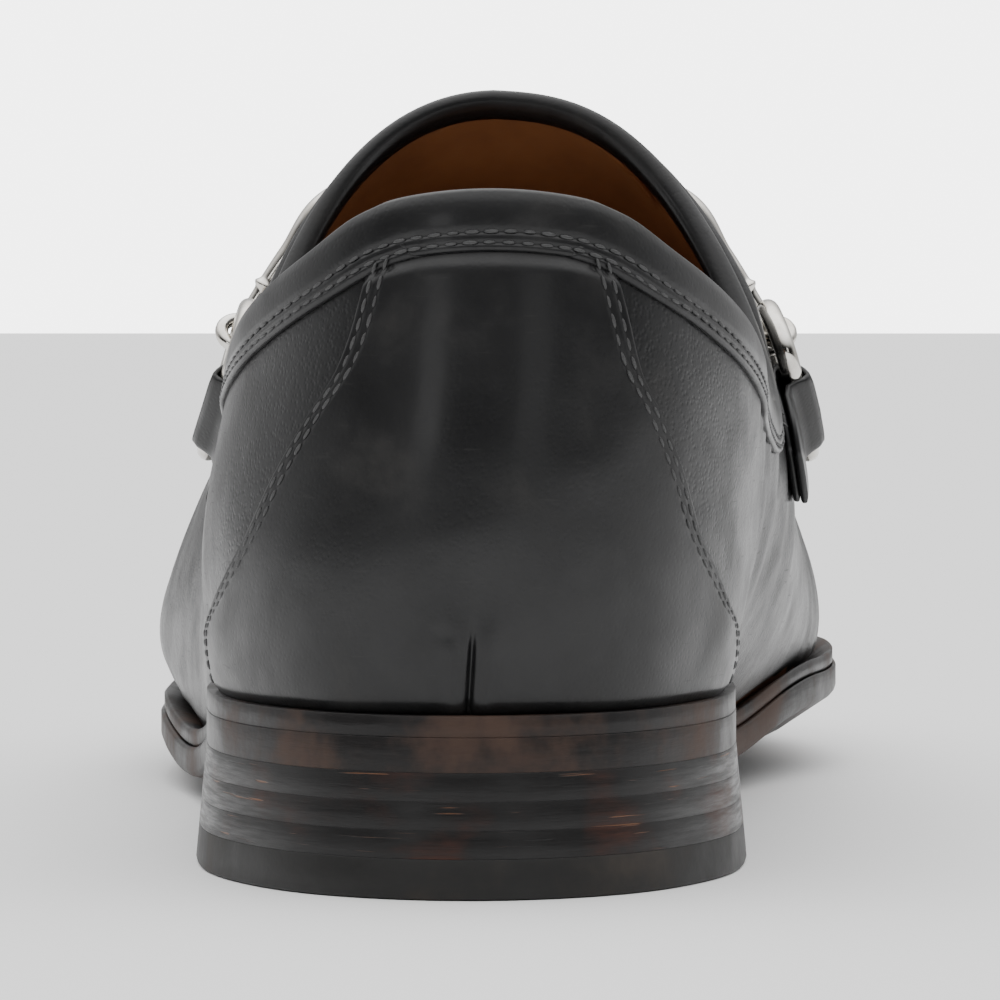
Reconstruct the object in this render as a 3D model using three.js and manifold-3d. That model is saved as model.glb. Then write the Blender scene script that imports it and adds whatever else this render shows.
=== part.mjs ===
// Bit loafer, left shoe.
// Millimetres, +Z up, +Y towards the toe, +X towards the medial side, the floor at z = 0.
import * as THREE from 'three';
import { mergeVertices } from 'three/addons/utils/BufferGeometryUtils.js';
import Module from 'manifold-3d';

const wasm = await Module();
wasm.setup();

// Main sizes
const shoeLength = 295; // outsole, back to tip
const ballWidth = 101.4; // outsole across the ball
const heelWidth = 67.4; // outsole across the heel seat
const instepHeight = 99; // floor to the ridge at the top of the tongue
const backHeight = 83.4; // floor to the top line at the centre back
const toeSpring = 16; // outsole tip above the floor
const gap = 0.3; // between pieces that curve together

// Sole and heel
const outsoleThickness = 4.2;
const weltThickness = 2;
const weltInset = 0.5; // welt edge inside the outsole edge
const weltReach = 8; // welt under the foot, inside the feather line
const soleEdge = 4.4; // outsole beyond the upper, at the ball
const insoleThickness = 3;
const liftThickness = 3.4;
const liftCount = 3;
const topLiftThickness = 4.9;
const heelLength = 60; // back of the sole to the breast
const shankGap = 12; // the flat heel seat goes on past the breast
const heelFlare = 1.4; // foot of the heel beyond its seat
const breastHollow = 4; // breast curves in at its middle
const curlMedial = 11; // worn edge turned up at the ball, medial side
const curlLateral = 6;

// Upper
const upperWall = 1.8;
const waistBulge = 12; // upper stands out over the waist of the sole
const medialLean = 2.8; // the quarters lean towards the medial side at half height
const seamHeight = 1.3; // raised seam round the apron
const seamWidth = 2.6;
const apronWidth = 50; // across the apron at the instep
const bandWidth = 6.4; // collar binding on the quarters
const bandOnTongue = 3;
const bandLeather = 0.8;
const counterLeather = 1.2;
const strapWidth = 15;
const strapLeather = 1.1; // one layer of the folded strap
const saddleLeather = 1.8;

// Bit
const wireRadius = 1.5; // ring wire
const ringLength = 15; // straight side to the bow
const ringWidth = 23;
const bowAim = 0.92; // share of the ring where its bow is set clear of the upper
const eyeRadius = 0.95; // wire of the eye at each end of the bar
const barRadius = 2;
const beadRadius = 3.1;

// Heights that follow
const heelSeat = topLiftThickness + liftCount * liftThickness;
const deck = outsoleThickness + gap + weltThickness + gap; // underside of the upper above the sole

// Steps of the meshes
const ringSteps = 64;
const rowHeights = [0, 0.06, 0.13, 0.22, 0.33, 0.45, 0.57, 0.68, 0.78, 0.86, 0.925, 0.97, 0.993, 1];

// A table of named columns, one row for each place
const table = (names, ...rows) => (
  rows.map((row) => Object.fromEntries(names.map((name, i) => [name, row[i]])))
);

// Sections of the last from heel to toe. along is a share of the upper's length, inner and outer
// are shares of the local width, edge is a share of soleEdge and the bulges are shares of waistBulge.
// bulgeAt is the level of the widest place, fullIn and fullOut are the exponents of each side's curve.
const sections = table(
  ['along', 'inner', 'outer', 'edge', 'bulgeIn', 'bulgeOut', 'bulgeAt', 'fullIn', 'fullOut'],
  [0.00, 0.000, 0.000, 0.59, 0.24, 0.24, 0.23, 2.8, 2.8],
  [0.02, 0.228, 0.228, 0.56, 0.24, 0.24, 0.23, 2.8, 2.8],
  [0.05, 0.338, 0.338, 0.52, 0.25, 0.25, 0.23, 2.8, 2.8],
  [0.10, 0.430, 0.430, 0.50, 0.27, 0.26, 0.23, 2.8, 2.8],
  [0.16, 0.466, 0.470, 0.46, 0.32, 0.26, 0.24, 2.8, 2.7],
  [0.22, 0.463, 0.474, 0.42, 0.42, 0.26, 0.26, 2.8, 2.6],
  [0.30, 0.420, 0.477, 0.36, 0.72, 0.28, 0.30, 2.8, 2.4],
  [0.38, 0.374, 0.460, 0.34, 1.02, 0.18, 0.34, 2.8, 2.2],
  [0.46, 0.378, 0.448, 0.50, 1.00, 0.16, 0.34, 2.7, 2.1],
  [0.54, 0.421, 0.442, 0.80, 0.58, 0.28, 0.27, 2.5, 2.1],
  [0.60, 0.455, 0.435, 0.95, 0.32, 0.42, 0.22, 2.3, 2.1],
  [0.66, 0.480, 0.427, 1.00, 0.20, 0.46, 0.21, 2.2, 2.2],
  [0.70, 0.486, 0.419, 1.00, 0.19, 0.42, 0.22, 2.2, 2.2],
  [0.76, 0.474, 0.396, 1.00, 0.22, 0.34, 0.26, 2.3, 2.3],
  [0.82, 0.440, 0.363, 1.00, 0.27, 0.28, 0.26, 2.4, 2.4],
  [0.88, 0.384, 0.306, 1.00, 0.28, 0.28, 0.26, 2.5, 2.5],
  [0.94, 0.294, 0.215, 1.00, 0.28, 0.28, 0.26, 2.6, 2.6],
  [0.98, 0.196, 0.100, 1.00, 0.28, 0.28, 0.26, 2.6, 2.6],
  [1.00, 0.049, -0.049, 1.00, 0.28, 0.28, 0.26, 2.6, 2.6],
);

// Ridge of the last: along is a share of shoeLength, height of instepHeight, medial of ballWidth
const ridgeRows = [
  { along: 0.112, height: 1.293, medial: 0.000 },
  { along: 0.203, height: 1.232, medial: 0.004 },
  { along: 0.305, height: 1.131, medial: 0.014 },
  { along: 0.373, height: 1.066, medial: 0.018 },
  { along: 0.427, height: 1.000, medial: 0.021 },
  { along: 0.475, height: 0.914, medial: 0.024 },
  { along: 0.542, height: 0.788, medial: 0.029 },
  { along: 0.610, height: 0.677, medial: 0.030 },
  { along: 0.678, height: 0.591, medial: 0.033 },
  { along: 0.746, height: 0.530, medial: 0.038 },
  { along: 0.814, height: 0.490, medial: 0.044 },
  { along: 0.864, height: 0.460, medial: 0.049 },
];

// Top line from the side: along is a share of shoeLength, height of backHeight or of instepHeight
const quarterLine = [
  { along: -0.060, height: 1.081 },
  { along: 0.012, height: 1.000 },
  { along: 0.030, height: 0.970 },
  { along: 0.058, height: 0.905 },
  { along: 0.119, height: 0.822 },
  { along: 0.203, height: 0.750 },
  { along: 0.288, height: 0.700 },
  { along: 0.349, height: 0.679 },
];
const tongueLine = [
  { along: 0.381, height: 0.640 },
  { along: 0.402, height: 0.760 },
  { along: 0.417, height: 0.885 },
  { along: 0.427, height: 1.000 },
  { along: 0.436, height: 1.130 },
];

// Counter's front edge: height is a share of backHeight, along of shoeLength
const counterRows = [
  { height: 0.262, along: 0.156 },
  { height: 0.300, along: 0.149 },
  { height: 0.355, along: 0.129 },
  { height: 0.408, along: 0.098 },
  { height: 0.496, along: 0.067 },
  { height: 0.588, along: 0.051 },
  { height: 0.671, along: 0.039 },
  { height: 0.751, along: 0.029 },
  { height: 0.900, along: 0.026 },
];

// Centre line of a strap: along is a share of shoeLength, height of instepHeight
const strapFoot = { along: 0.412, height: 0.462 };
const strapHead = { along: 0.444, height: 0.560 };

// Front edge of the saddle over the instep, from its end at the side to past the ridge
const saddleFront = [
  { along: 0.488, height: 0.715 },
  { along: 0.497, height: 0.770 },
  { along: 0.512, height: 0.880 },
  { along: 0.520, height: 1.150 },
];

// Small mathematics
const clamp = THREE.MathUtils.clamp;
const mix = THREE.MathUtils.lerp;
const smooth = (from, to, x) => THREE.MathUtils.smoothstep(x, from, to);

// A smooth curve through knots, closed where a period is given
function curve(knots, values, period = 0) {
  const count = knots.length;
  const wrap = (i) => (period ? (i + count) % count : clamp(i, 0, count - 1));
  const turn = (i) => (period ? Math.floor(i / count) * period : 0);
  const knot = (i) => knots[wrap(i)] + turn(i);
  const value = (i) => values[wrap(i)];
  const slope = (i) => (value(i + 1) - value(i - 1)) / (knot(i + 1) - knot(i - 1));
  return (x) => {
    const at = period ? x - Math.floor(x / period) * period : clamp(x, knots[0], knots[count - 1]);
    let i = 0;
    while (i < count - (period ? 1 : 2) && knot(i + 1) <= at) i += 1;
    const span = knot(i + 1) - knot(i);
    const t = (at - knot(i)) / span;
    const rise = value(i + 1) - value(i);
    const first = slope(i) * span;
    const second = slope(i + 1) * span;
    return value(i) + t * (first + t * (3 * rise - 2 * first - second + t * (first + second - 2 * rise)));
  };
}

const column = (rows, name, unit = 1) => rows.map((row) => row[name] * unit);

// A column of the sections as a curve round the foot: angle 0 at the back, pi at the toe
function around(innerOf, outerOf) {
  const angles = sections.map((row) => Math.acos(1 - 2 * row.along));
  const back = [...sections.keys()].slice(1, -1).reverse();
  const knots = [...angles, ...back.map((i) => 2 * Math.PI - angles[i])];
  const values = [...sections.map(innerOf), ...back.map((i) => outerOf(sections[i]))];
  return curve(knots, values, 2 * Math.PI);
}

const widens = { from: 0.22, to: 0.66 }; // shares of the length between heel and ball
const localWidth = (along) => mix(heelWidth, ballWidth, smooth(widens.from, widens.to, along));
const featherX = around(
  (row) => row.inner * localWidth(row.along),
  (row) => -row.outer * localWidth(row.along),
);
const edgeWidth = around((row) => row.edge * soleEdge, (row) => row.edge * soleEdge);
const bulge = around((row) => row.bulgeIn * waistBulge, (row) => row.bulgeOut * waistBulge);
const bulgeLevel = around((row) => row.bulgeAt, (row) => row.bulgeAt);
const fullness = around((row) => row.fullIn, (row) => row.fullOut);

// Feather line, where the upper meets the sole
const featherBack = sections[0].edge * soleEdge;
const featherLength = shoeLength - featherBack - sections.at(-1).edge * soleEdge;
const shareAt = (angle) => (1 - Math.cos(angle)) / 2;
const featherY = (angle) => featherBack + featherLength * shareAt(angle);

function featherNormal(angle) {
  const step = 0.002;
  const dx = featherX(angle + step) - featherX(angle - step);
  const dy = featherY(angle + step) - featherY(angle - step);
  return new THREE.Vector2(dy, -dx).normalize();
}

function outlinePoint(angle, beyond) {
  return new THREE.Vector2(featherX(angle), featherY(angle)).addScaledVector(featherNormal(angle), beyond);
}

// Underside of the outsole above the floor
const shankStart = heelLength + shankGap;
const flatStart = 0.508 * shoeLength;
const flatEnd = 0.624 * shoeLength;
const curlStart = 0.37 * shoeLength;
const curlFull = 0.6 * shoeLength;
const curlFade = 0.68 * shoeLength;
const curlInside = 0.43; // share of the half width that stays flat
const toeCurve = 1.9; // exponent of the toe spring

function soleProfile(y) {
  const fall = clamp((y - shankStart) / (flatStart - shankStart), 0, 1);
  const heelFall = (heelSeat * (1 + Math.cos(Math.PI * fall))) / 2;
  const toeRise = toeSpring * clamp((y - flatEnd) / (shoeLength - flatEnd), 0, 1.1) ** toeCurve;
  return heelFall + toeRise;
}

function soleRise(x, y) {
  const angle = Math.acos(clamp(1 - (2 * (y - featherBack)) / featherLength, -1, 1));
  const inner = featherX(angle) + edgeWidth(angle);
  const outer = featherX(2 * Math.PI - angle) - edgeWidth(angle);
  const share = (2 * x - inner - outer) / (inner - outer);
  const weight = smooth(curlStart, curlFull, y) * (1 - smooth(curlFade, shoeLength, y));
  const curl = share > 0 ? curlMedial : curlLateral;
  const turned = clamp((Math.abs(share) - curlInside) / (1 - curlInside), 0, 1.1) ** 2;
  return soleProfile(y) + weight * curl * turned;
}

// The lean is full over the heel and gone before the toe, and starts above the feather line
const leanFades = { from: 0.2 * shoeLength, to: 0.7 * shoeLength };
const leanStarts = { from: 0.05, to: 0.45 };

function leanAt(y, level) {
  const along = 1 - smooth(leanFades.from, leanFades.to, y);
  return medialLean * along * Math.sin(Math.PI * level) * smooth(leanStarts.from, leanStarts.to, level);
}

// The last's surface: level 0 at the feather line, 1 at the ridge, beyond is outwards
const spineStart = ridgeRows[0].along * shoeLength;
const spineEnd = ridgeRows.at(-1).along * shoeLength;
const spineKnots = column(ridgeRows, 'along', shoeLength);
const ridgeHeight = curve(spineKnots, column(ridgeRows, 'height', instepHeight));
const ridgeX = curve(spineKnots, column(ridgeRows, 'medial', ballWidth));

function surface(angle, level, beyond) {
  const foot = outlinePoint(angle, beyond);
  const spineY = mix(spineStart, spineEnd, shareAt(angle));
  const spine = new THREE.Vector2(ridgeX(spineY), spineY);
  const power = fullness(angle);
  const reach = (1 - level ** power) ** (1 / power);
  const rise = level / bulgeLevel(angle);
  const swell = bulge(angle) * rise * Math.exp(1 - rise) * reach;
  const plan = spine.clone().lerp(foot, reach).addScaledVector(featherNormal(angle), swell);
  const low = soleRise(foot.x, foot.y) + deck;
  const x = plan.x + leanAt(featherY(angle), level);
  return new THREE.Vector3(x, plan.y, mix(low, ridgeHeight(spineY) + beyond, level));
}

// The surface point of one side (1 medial, -1 lateral) at a given y and z
function surfaceAngle(side, y, z, beyond) {
  let near = 0;
  let far = Math.PI;
  let found = null;
  for (let turn = 0; turn < 40; turn += 1) {
    const half = (near + far) / 2;
    const angle = side > 0 ? half : 2 * Math.PI - half;
    const low = surface(angle, 0, beyond).z;
    const high = surface(angle, 1, beyond).z;
    const level = clamp((z - low) / (high - low), 0, 1);
    found = { angle, level };
    if (surface(angle, level, beyond).y < y) near = half;
    else far = half;
  }
  return found;
}

function surfaceAt(side, y, z, beyond) {
  const { angle, level } = surfaceAngle(side, y, z, beyond);
  return surface(angle, level, beyond);
}

// Meshes and solids
function geometryOf(quads) {
  const positions = [];
  for (const [a, b, c, d] of quads) {
    for (const corner of d ? [a, b, c, a, c, d] : [a, b, c]) positions.push(corner.x, corner.y, corner.z);
  }
  const loose = new THREE.BufferGeometry();
  loose.setAttribute('position', new THREE.Float32BufferAttribute(positions, 3));
  const merged = mergeVertices(loose, 1e-4);
  const index = [];
  for (let i = 0; i < merged.index.count; i += 3) {
    const [a, b, c] = [merged.index.getX(i), merged.index.getX(i + 1), merged.index.getX(i + 2)];
    if (a !== b && b !== c && c !== a) index.push(a, b, c);
  }
  merged.setIndex(index);
  return merged;
}

function solidOf(geometry) {
  const clean = new THREE.BufferGeometry();
  clean.setAttribute('position', geometry.getAttribute('position'));
  clean.setIndex(geometry.index);
  const merged = mergeVertices(clean, 1e-4);
  return new wasm.Manifold(new wasm.Mesh({
    numProp: 3,
    vertProperties: new Float32Array(merged.getAttribute('position').array),
    triVerts: new Uint32Array(merged.index.array),
  }));
}

function geometryFrom(solid) {
  const mesh = solid.getMesh();
  const geometry = new THREE.BufferGeometry();
  geometry.setAttribute('position', new THREE.Float32BufferAttribute(mesh.vertProperties, 3));
  geometry.setIndex([...mesh.triVerts]);
  return geometry;
}

// Walls between rings that run anticlockwise round the way up
function walls(rings, loop = false) {
  const quads = [];
  const last = loop ? rings.length : rings.length - 1;
  for (let r = 0; r < last; r += 1) {
    const low = rings[r];
    const high = rings[(r + 1) % rings.length];
    for (let i = 0; i < low.length; i += 1) {
      const next = (i + 1) % low.length;
      quads.push([low[i], low[next], high[next], high[i]]);
    }
  }
  return quads;
}

// A cap in strips from one side of a ring to the other
function stripCap(ring, facesUp) {
  const quads = [];
  const count = ring.length;
  for (let i = 0; i < Math.floor(count / 2); i += 1) {
    const corners = [ring[i], ring[i + 1], ring[count - i - 1], ring[(count - i) % count]];
    quads.push(facesUp ? corners : corners.reverse());
  }
  return quads;
}

function fanCap(ring, facesUp) {
  const centre = ring.reduce((sum, point) => sum.add(point), new THREE.Vector3()).divideScalar(ring.length);
  return ring.map((point, i) => {
    const next = ring[(i + 1) % ring.length];
    return facesUp ? [point, next, centre] : [next, point, centre];
  });
}

function tube(path, steps, sides, radiusAt, closed) {
  const frames = path.computeFrenetFrames(steps, closed);
  const rings = [];
  for (let i = 0; i < (closed ? steps : steps + 1); i += 1) {
    const centre = path.getPointAt(i / steps);
    const radius = radiusAt(i / steps);
    rings.push(Array.from({ length: sides }, (_, k) => {
      const turn = (2 * Math.PI * k) / sides;
      return centre.clone()
        .addScaledVector(frames.normals[i], radius * Math.cos(turn))
        .addScaledVector(frames.binormals[i], radius * Math.sin(turn));
    }));
  }
  const quads = walls(rings, closed);
  if (!closed) quads.push(...fanCap(rings[0], false), ...fanCap(rings.at(-1), true));
  return geometryOf(quads);
}

// A prism across the whole shoe from a side view in y and z
function sidePrism(points) {
  const shape = new THREE.Shape(points.map((point) => new THREE.Vector2(point.x, point.y)));
  const prism = new THREE.ExtrudeGeometry(shape, { depth: 2 * ballWidth, bevelEnabled: false, steps: 1 });
  prism.deleteAttribute('normal');
  prism.deleteAttribute('uv');
  prism.translate(0, 0, -ballWidth);
  prism.applyMatrix4(new THREE.Matrix4().set(0, 0, 1, 0, 1, 0, 0, 0, 0, 1, 0, 0, 0, 0, 0, 1));
  return solidOf(mergeVertices(prism, 1e-4));
}

const angleOf = (i) => (2 * Math.PI * i) / ringSteps;

// A whole last, grown outwards by beyond and let down under its feather line by drop
function lastForm(beyond, drop) {
  const ringAt = (level) => Array.from({ length: ringSteps }, (_, i) => surface(angleOf(i), level, beyond));
  const rings = rowHeights.map(ringAt);
  for (let i = 1; i < ringSteps / 2; i += 1) rings.at(-1)[ringSteps - i].copy(rings.at(-1)[i]);
  if (drop > 0) rings.unshift(rings[0].map((point) => point.clone().setZ(point.z - drop)));
  return solidOf(geometryOf([...walls(rings), ...stripCap(rings[0], false)]));
}

// A ring over the sole, grown from the feather line and drawn towards its middle line by share
function soleRing(beyond, height, share = 1) {
  const plans = Array.from({ length: ringSteps }, (_, i) => outlinePoint(angleOf(i), beyond(angleOf(i))));
  return plans.map((plan, i) => {
    const middle = plan.clone().add(plans[(ringSteps - i) % ringSteps]).multiplyScalar(0.5);
    const { x, y } = middle.lerp(plan, share);
    return new THREE.Vector3(x, y, soleRise(x, y) + height);
  });
}

// The underside of the upper, its insole and its welt meet on the same rings
const reachRing = () => -weltReach;
const seatRing = () => -upperWall - gap;
const weltRing = (angle) => edgeWidth(angle) - weltInset;
const flatShare = 0.56; // innermost ring, inside the turned-up edge

function solePlate(rings, low, high) {
  const layer = (height) => [
    soleRing(rings[0], height, flatShare),
    ...rings.map((ring) => soleRing(ring, height)),
  ];
  const bottom = layer(low);
  const top = layer(high).reverse();
  const caps = [...stripCap(bottom[0], false), ...stripCap(top.at(-1), true)];
  return geometryOf([...walls([...bottom, ...top]), ...caps]);
}

function makeOutsole() {
  return solePlate([reachRing, seatRing, edgeWidth], 0, outsoleThickness);
}

function makeInsole() {
  return solePlate([reachRing, seatRing], deck, deck + insoleThickness);
}

function makeWelt() {
  const low = outsoleThickness + gap;
  const layer = (height) => [reachRing, seatRing, weltRing].map((ring) => soleRing(ring, height));
  return geometryOf(walls([...layer(low), ...layer(low + weltThickness).reverse()], true));
}

// Heel pieces: the outsole's outline behind the breast, flared towards the floor
const breastSteps = 8;
const heelSteps = 20;

function heelRing(z) {
  const flare = heelFlare * (1 - z / heelSeat);
  const breastAngle = Math.acos(1 - (2 * (heelLength - featherBack)) / featherLength);
  const ring = [];
  for (let i = -heelSteps / 2; i <= heelSteps / 2; i += 1) {
    const angle = (2 * breastAngle * i) / heelSteps;
    const plan = outlinePoint(angle, edgeWidth(angle) + flare);
    ring.push(new THREE.Vector3(plan.x, plan.y, z));
  }
  const left = ring[0].clone();
  const right = ring.at(-1).clone();
  for (let i = 1; i < breastSteps; i += 1) {
    const share = i / breastSteps;
    const hollow = breastHollow * 4 * share * (1 - share);
    ring.push(right.clone().lerp(left, share).add(new THREE.Vector3(0, -hollow, 0)));
  }
  return ring;
}

function makeHeelPiece(low, high) {
  const rings = [heelRing(low), heelRing(high)];
  const faces = THREE.ShapeUtils.triangulateShape(rings[1].map(({ x, y }) => new THREE.Vector2(x, y)), []);
  const caps = faces.flatMap(([a, b, c]) => [
    [rings[0][c], rings[0][b], rings[0][a]],
    [rings[1][a], rings[1][b], rings[1][c]],
  ]);
  return geometryOf([...walls(rings), ...caps]);
}

// Top line as points from the side, with x along the shoe and y as the height
const topLinePath = new THREE.SplineCurve([
  ...quarterLine.map((row) => new THREE.Vector2(row.along * shoeLength, row.height * backHeight)),
  ...tongueLine.map((row) => new THREE.Vector2(row.along * shoeLength, row.height * instepHeight)),
]);
const topLineSteps = 28;

function topLine(offsetAt) {
  return Array.from({ length: topLineSteps + 1 }, (_, i) => {
    const share = i / topLineSteps;
    const tangent = topLinePath.getTangentAt(share);
    const normal = new THREE.Vector2(-tangent.y, tangent.x);
    const point = topLinePath.getPointAt(share);
    return point.clone().addScaledVector(normal, offsetAt(point.x));
  });
}

function areaAbove(offsetAt) {
  const line = topLine(offsetAt);
  const sky = 2 * instepHeight;
  return [...line, new THREE.Vector2(line.at(-1).x, sky), new THREE.Vector2(line[0].x, sky)];
}

// Raised seam round the apron, as a strip seen from above
const seamStart = 0.535 * shoeLength;
const seamEnd = 0.905 * shoeLength;
const seamSteps = 12;
const toeRound = 1.05; // length of the round toe as a share of its half width
const apronSwell = 1.04; // widest place of the apron as a share of its width

function apronStrip() {
  const outline = (half, end) => {
    const shoulder = end - toeRound * half;
    const points = [new THREE.Vector2(half, seamStart)];
    points.push(new THREE.Vector2(half * apronSwell, mix(seamStart, shoulder, 0.5)));
    for (let i = 0; i <= seamSteps; i += 1) {
      const turn = (Math.PI * i) / seamSteps;
      const y = shoulder + (end - shoulder) * Math.sin(turn);
      points.push(new THREE.Vector2(half * Math.cos(turn), y));
    }
    points.push(new THREE.Vector2(-half * apronSwell, mix(seamStart, shoulder, 0.5)));
    points.push(new THREE.Vector2(-half, seamStart));
    return points;
  };
  const outer = outline(apronWidth / 2 + seamWidth / 2, seamEnd + seamWidth / 2);
  const inner = outline(apronWidth / 2 - seamWidth / 2, seamEnd - seamWidth / 2);
  const shape = new THREE.Shape([...outer, ...inner.reverse()]);
  const depth = 2 * instepHeight;
  const strip = new THREE.ExtrudeGeometry(shape, { depth, bevelEnabled: false, steps: 1 });
  strip.deleteAttribute('normal');
  strip.deleteAttribute('uv');
  strip.translate(ridgeX(seamEnd), 0, 0);
  return solidOf(mergeVertices(strip, 1e-4));
}

function makeUpper() {
  const cavity = lastForm(-upperWall, 2 * upperWall);
  const seam = lastForm(seamHeight, 0).intersect(apronStrip());
  return geometryFrom(lastForm(0, 0).add(seam).subtract(cavity).subtract(sidePrism(areaAbove(() => 0))));
}

// The binding narrows where the quarters' top line turns up into the tongue
const bandNarrows = { from: 0.35 * shoeLength, to: 0.4 * shoeLength };
const bandAt = (y) => mix(bandWidth, bandOnTongue, smooth(bandNarrows.from, bandNarrows.to, y));

function makeCollarBinding() {
  const skin = gap + bandLeather;
  const roll = lastForm(skin, 0).subtract(lastForm(-upperWall - skin, 2 * upperWall));
  const groove = lastForm(gap, 0).subtract(lastForm(-upperWall - gap, 2 * upperWall));
  const below = (y) => -bandAt(y);
  const band = [...topLine(() => skin), ...topLine(below).reverse()];
  const inside = roll.intersect(sidePrism(band));
  return geometryFrom(inside.subtract(groove.subtract(sidePrism(areaAbove(() => gap)))));
}

// Counter: a skin over the back of the upper, behind its front edge and under the binding
const counterEdge = curve(
  column(counterRows, 'height', backHeight),
  column(counterRows, 'along', shoeLength),
);
const counterEdgeSteps = 14;

function makeCounter() {
  const low = counterRows[0].height * backHeight;
  const edge = Array.from({ length: counterEdgeSteps + 1 }, (_, i) => {
    const z = mix(low, backHeight, i / counterEdgeSteps);
    return new THREE.Vector2(counterEdge(z), z);
  });
  const behind = -0.1 * shoeLength;
  const area = [
    new THREE.Vector2(behind, 0),
    new THREE.Vector2(edge[0].x, 0),
    ...edge,
    new THREE.Vector2(behind, backHeight),
  ];
  const skin = lastForm(gap + counterLeather, 0).subtract(lastForm(gap, upperWall));
  const underBand = sidePrism(areaAbove((y) => -bandAt(y) - gap));
  return geometryFrom(skin.intersect(sidePrism(area)).subtract(underBand));
}

// Saddle: a band over the instep in front of the binding
function makeSaddle() {
  const skin = lastForm(gap + saddleLeather, 0).subtract(lastForm(gap, upperWall));
  const front = saddleFront.map((row) => (
    new THREE.Vector2(row.along * shoeLength, row.height * instepHeight)
  ));
  const back = new THREE.Vector2(strapFoot.along * shoeLength - strapWidth, front[0].y);
  const area = [back, ...front, new THREE.Vector2(back.x, front.at(-1).y)];
  const underBand = sidePrism(areaAbove((y) => -bandAt(y) - gap));
  return geometryFrom(skin.intersect(sidePrism(area)).subtract(underBand));
}

// Straps: each is folded round its ring's straight side
const strapClear = gap;
const foldRadius = wireRadius + gap + strapLeather;
const foldCentre = strapClear + foldRadius;
const foldShare = 0.92; // of the strap's width, where it turns round the ring
const foldTurn = 0.97 * (Math.PI / 2);

function strapFrame(side) {
  const from = new THREE.Vector2(strapFoot.along * shoeLength, strapFoot.height * instepHeight);
  const to = new THREE.Vector2(strapHead.along * shoeLength, strapHead.height * instepHeight);
  const rise = to.clone().sub(from);
  const length = rise.length();
  const up = rise.divideScalar(length);
  const across = new THREE.Vector2(up.y, -up.x);
  const point = (along, sideways, beyond) => {
    const flat = from.clone().addScaledVector(up, along).addScaledVector(across, sideways);
    return surfaceAt(side, flat.x, flat.y, beyond);
  };
  return { length, point };
}

// Rows of a strap: along it, its share of the full width, and its low and high faces
function strapRows(length) {
  const doubled = strapClear + 2 * strapLeather;
  const neck = length - 1.1 * foldRadius;
  const rows = [
    { along: 0, width: 0.45, low: strapClear, high: doubled },
    { along: 0.12 * neck, width: 0.72, low: strapClear, high: doubled },
    { along: 0.35 * neck, width: 0.92, low: strapClear, high: doubled },
    { along: 0.65 * neck, width: 1, low: strapClear, high: doubled },
    { along: neck, width: 0.95, low: strapClear, high: doubled + 0.5 * strapLeather },
  ];
  for (let i = -2; i <= 5; i += 1) {
    const turn = foldTurn * (i / 5);
    rows.push({
      along: length + foldRadius * Math.sin(turn),
      width: foldShare,
      low: i < 0 ? strapClear : foldCentre - foldRadius * Math.cos(turn),
      high: foldCentre + foldRadius * Math.cos(turn),
    });
  }
  return rows;
}

const holeSides = 10;

function makeStrap(side) {
  const { length, point } = strapFrame(side);
  const { place, lift } = ringFrame(side);
  const rows = strapRows(length);
  const low = rows.map((row) => ({ along: row.along, height: row.low, width: row.width }));
  const high = rows.map((row) => ({ along: row.along, height: row.high, width: row.width }));
  const outline = [...low, ...high.reverse()];
  const holeTurns = Array.from({ length: holeSides }, (_, i) => (-2 * Math.PI * i) / holeSides);
  const holeRadius = wireRadius + gap;
  const shares = [-1, -0.5, 0, 0.5, 1].map((share) => share * side);
  const outerRings = shares.map((share) => outline.map((corner) => (
    point(corner.along, (share * corner.width * strapWidth) / 2, corner.height)
  )));
  const holeRings = [shares[0], shares.at(-1)].map((share) => holeTurns.map((turn) => (
    place((share * foldShare * strapWidth) / 2, holeRadius * Math.cos(turn))
      .addScaledVector(lift, holeRadius * Math.sin(turn))
  )));
  const flatOutline = outline.map((corner) => new THREE.Vector2(corner.along, corner.height));
  const flatHole = holeTurns.map((turn) => (
    new THREE.Vector2(length + holeRadius * Math.cos(turn), foldCentre + holeRadius * Math.sin(turn))
  ));
  const faces = THREE.ShapeUtils.triangulateShape(flatOutline, [flatHole]);
  const first = [...outerRings[0], ...holeRings[0]];
  const last = [...outerRings.at(-1), ...holeRings[1]];
  const caps = faces.flatMap(([a, b, c]) => [[first[c], first[b], first[a]], [last[a], last[b], last[c]]]);
  return geometryOf([...walls(outerRings), ...walls(holeRings), ...caps]);
}

// Bit: two rings and the bar between them
const eyeReach = wireRadius + gap + eyeRadius;
const saddleTop = gap + saddleLeather;

function ringFrame(side) {
  const { length, point } = strapFrame(side);
  const origin = point(length, 0, foldCentre);
  const ends = [point(length, -strapWidth / 2, foldCentre), point(length, strapWidth / 2, foldCentre)];
  const across = ends[1].clone().sub(ends[0]).normalize();
  const bowLift = eyeReach + eyeRadius + 2 * gap;
  const far = point(length + ringLength * bowAim, 0, bowLift);
  const inward = far.sub(origin);
  inward.addScaledVector(across, -inward.dot(across)).normalize();
  const place = (sideways, along) => origin.clone()
    .addScaledVector(across, sideways)
    .addScaledVector(inward, along);
  const lift = new THREE.Vector3().crossVectors(across, inward).multiplyScalar(side);
  return { place, inward, lift };
}

// Half of a ring's outline: shares of its half width and of its length
const ringRows = [
  { across: 0.50, along: 0.00 },
  { across: 0.70, along: 0.00 },
  { across: 0.93, along: 0.10 },
  { across: 1.00, along: 0.33 },
  { across: 0.86, along: 0.68 },
  { across: 0.50, along: 0.93 },
];

const ringTubeSteps = 24;
const tubeSides = 8;

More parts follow.
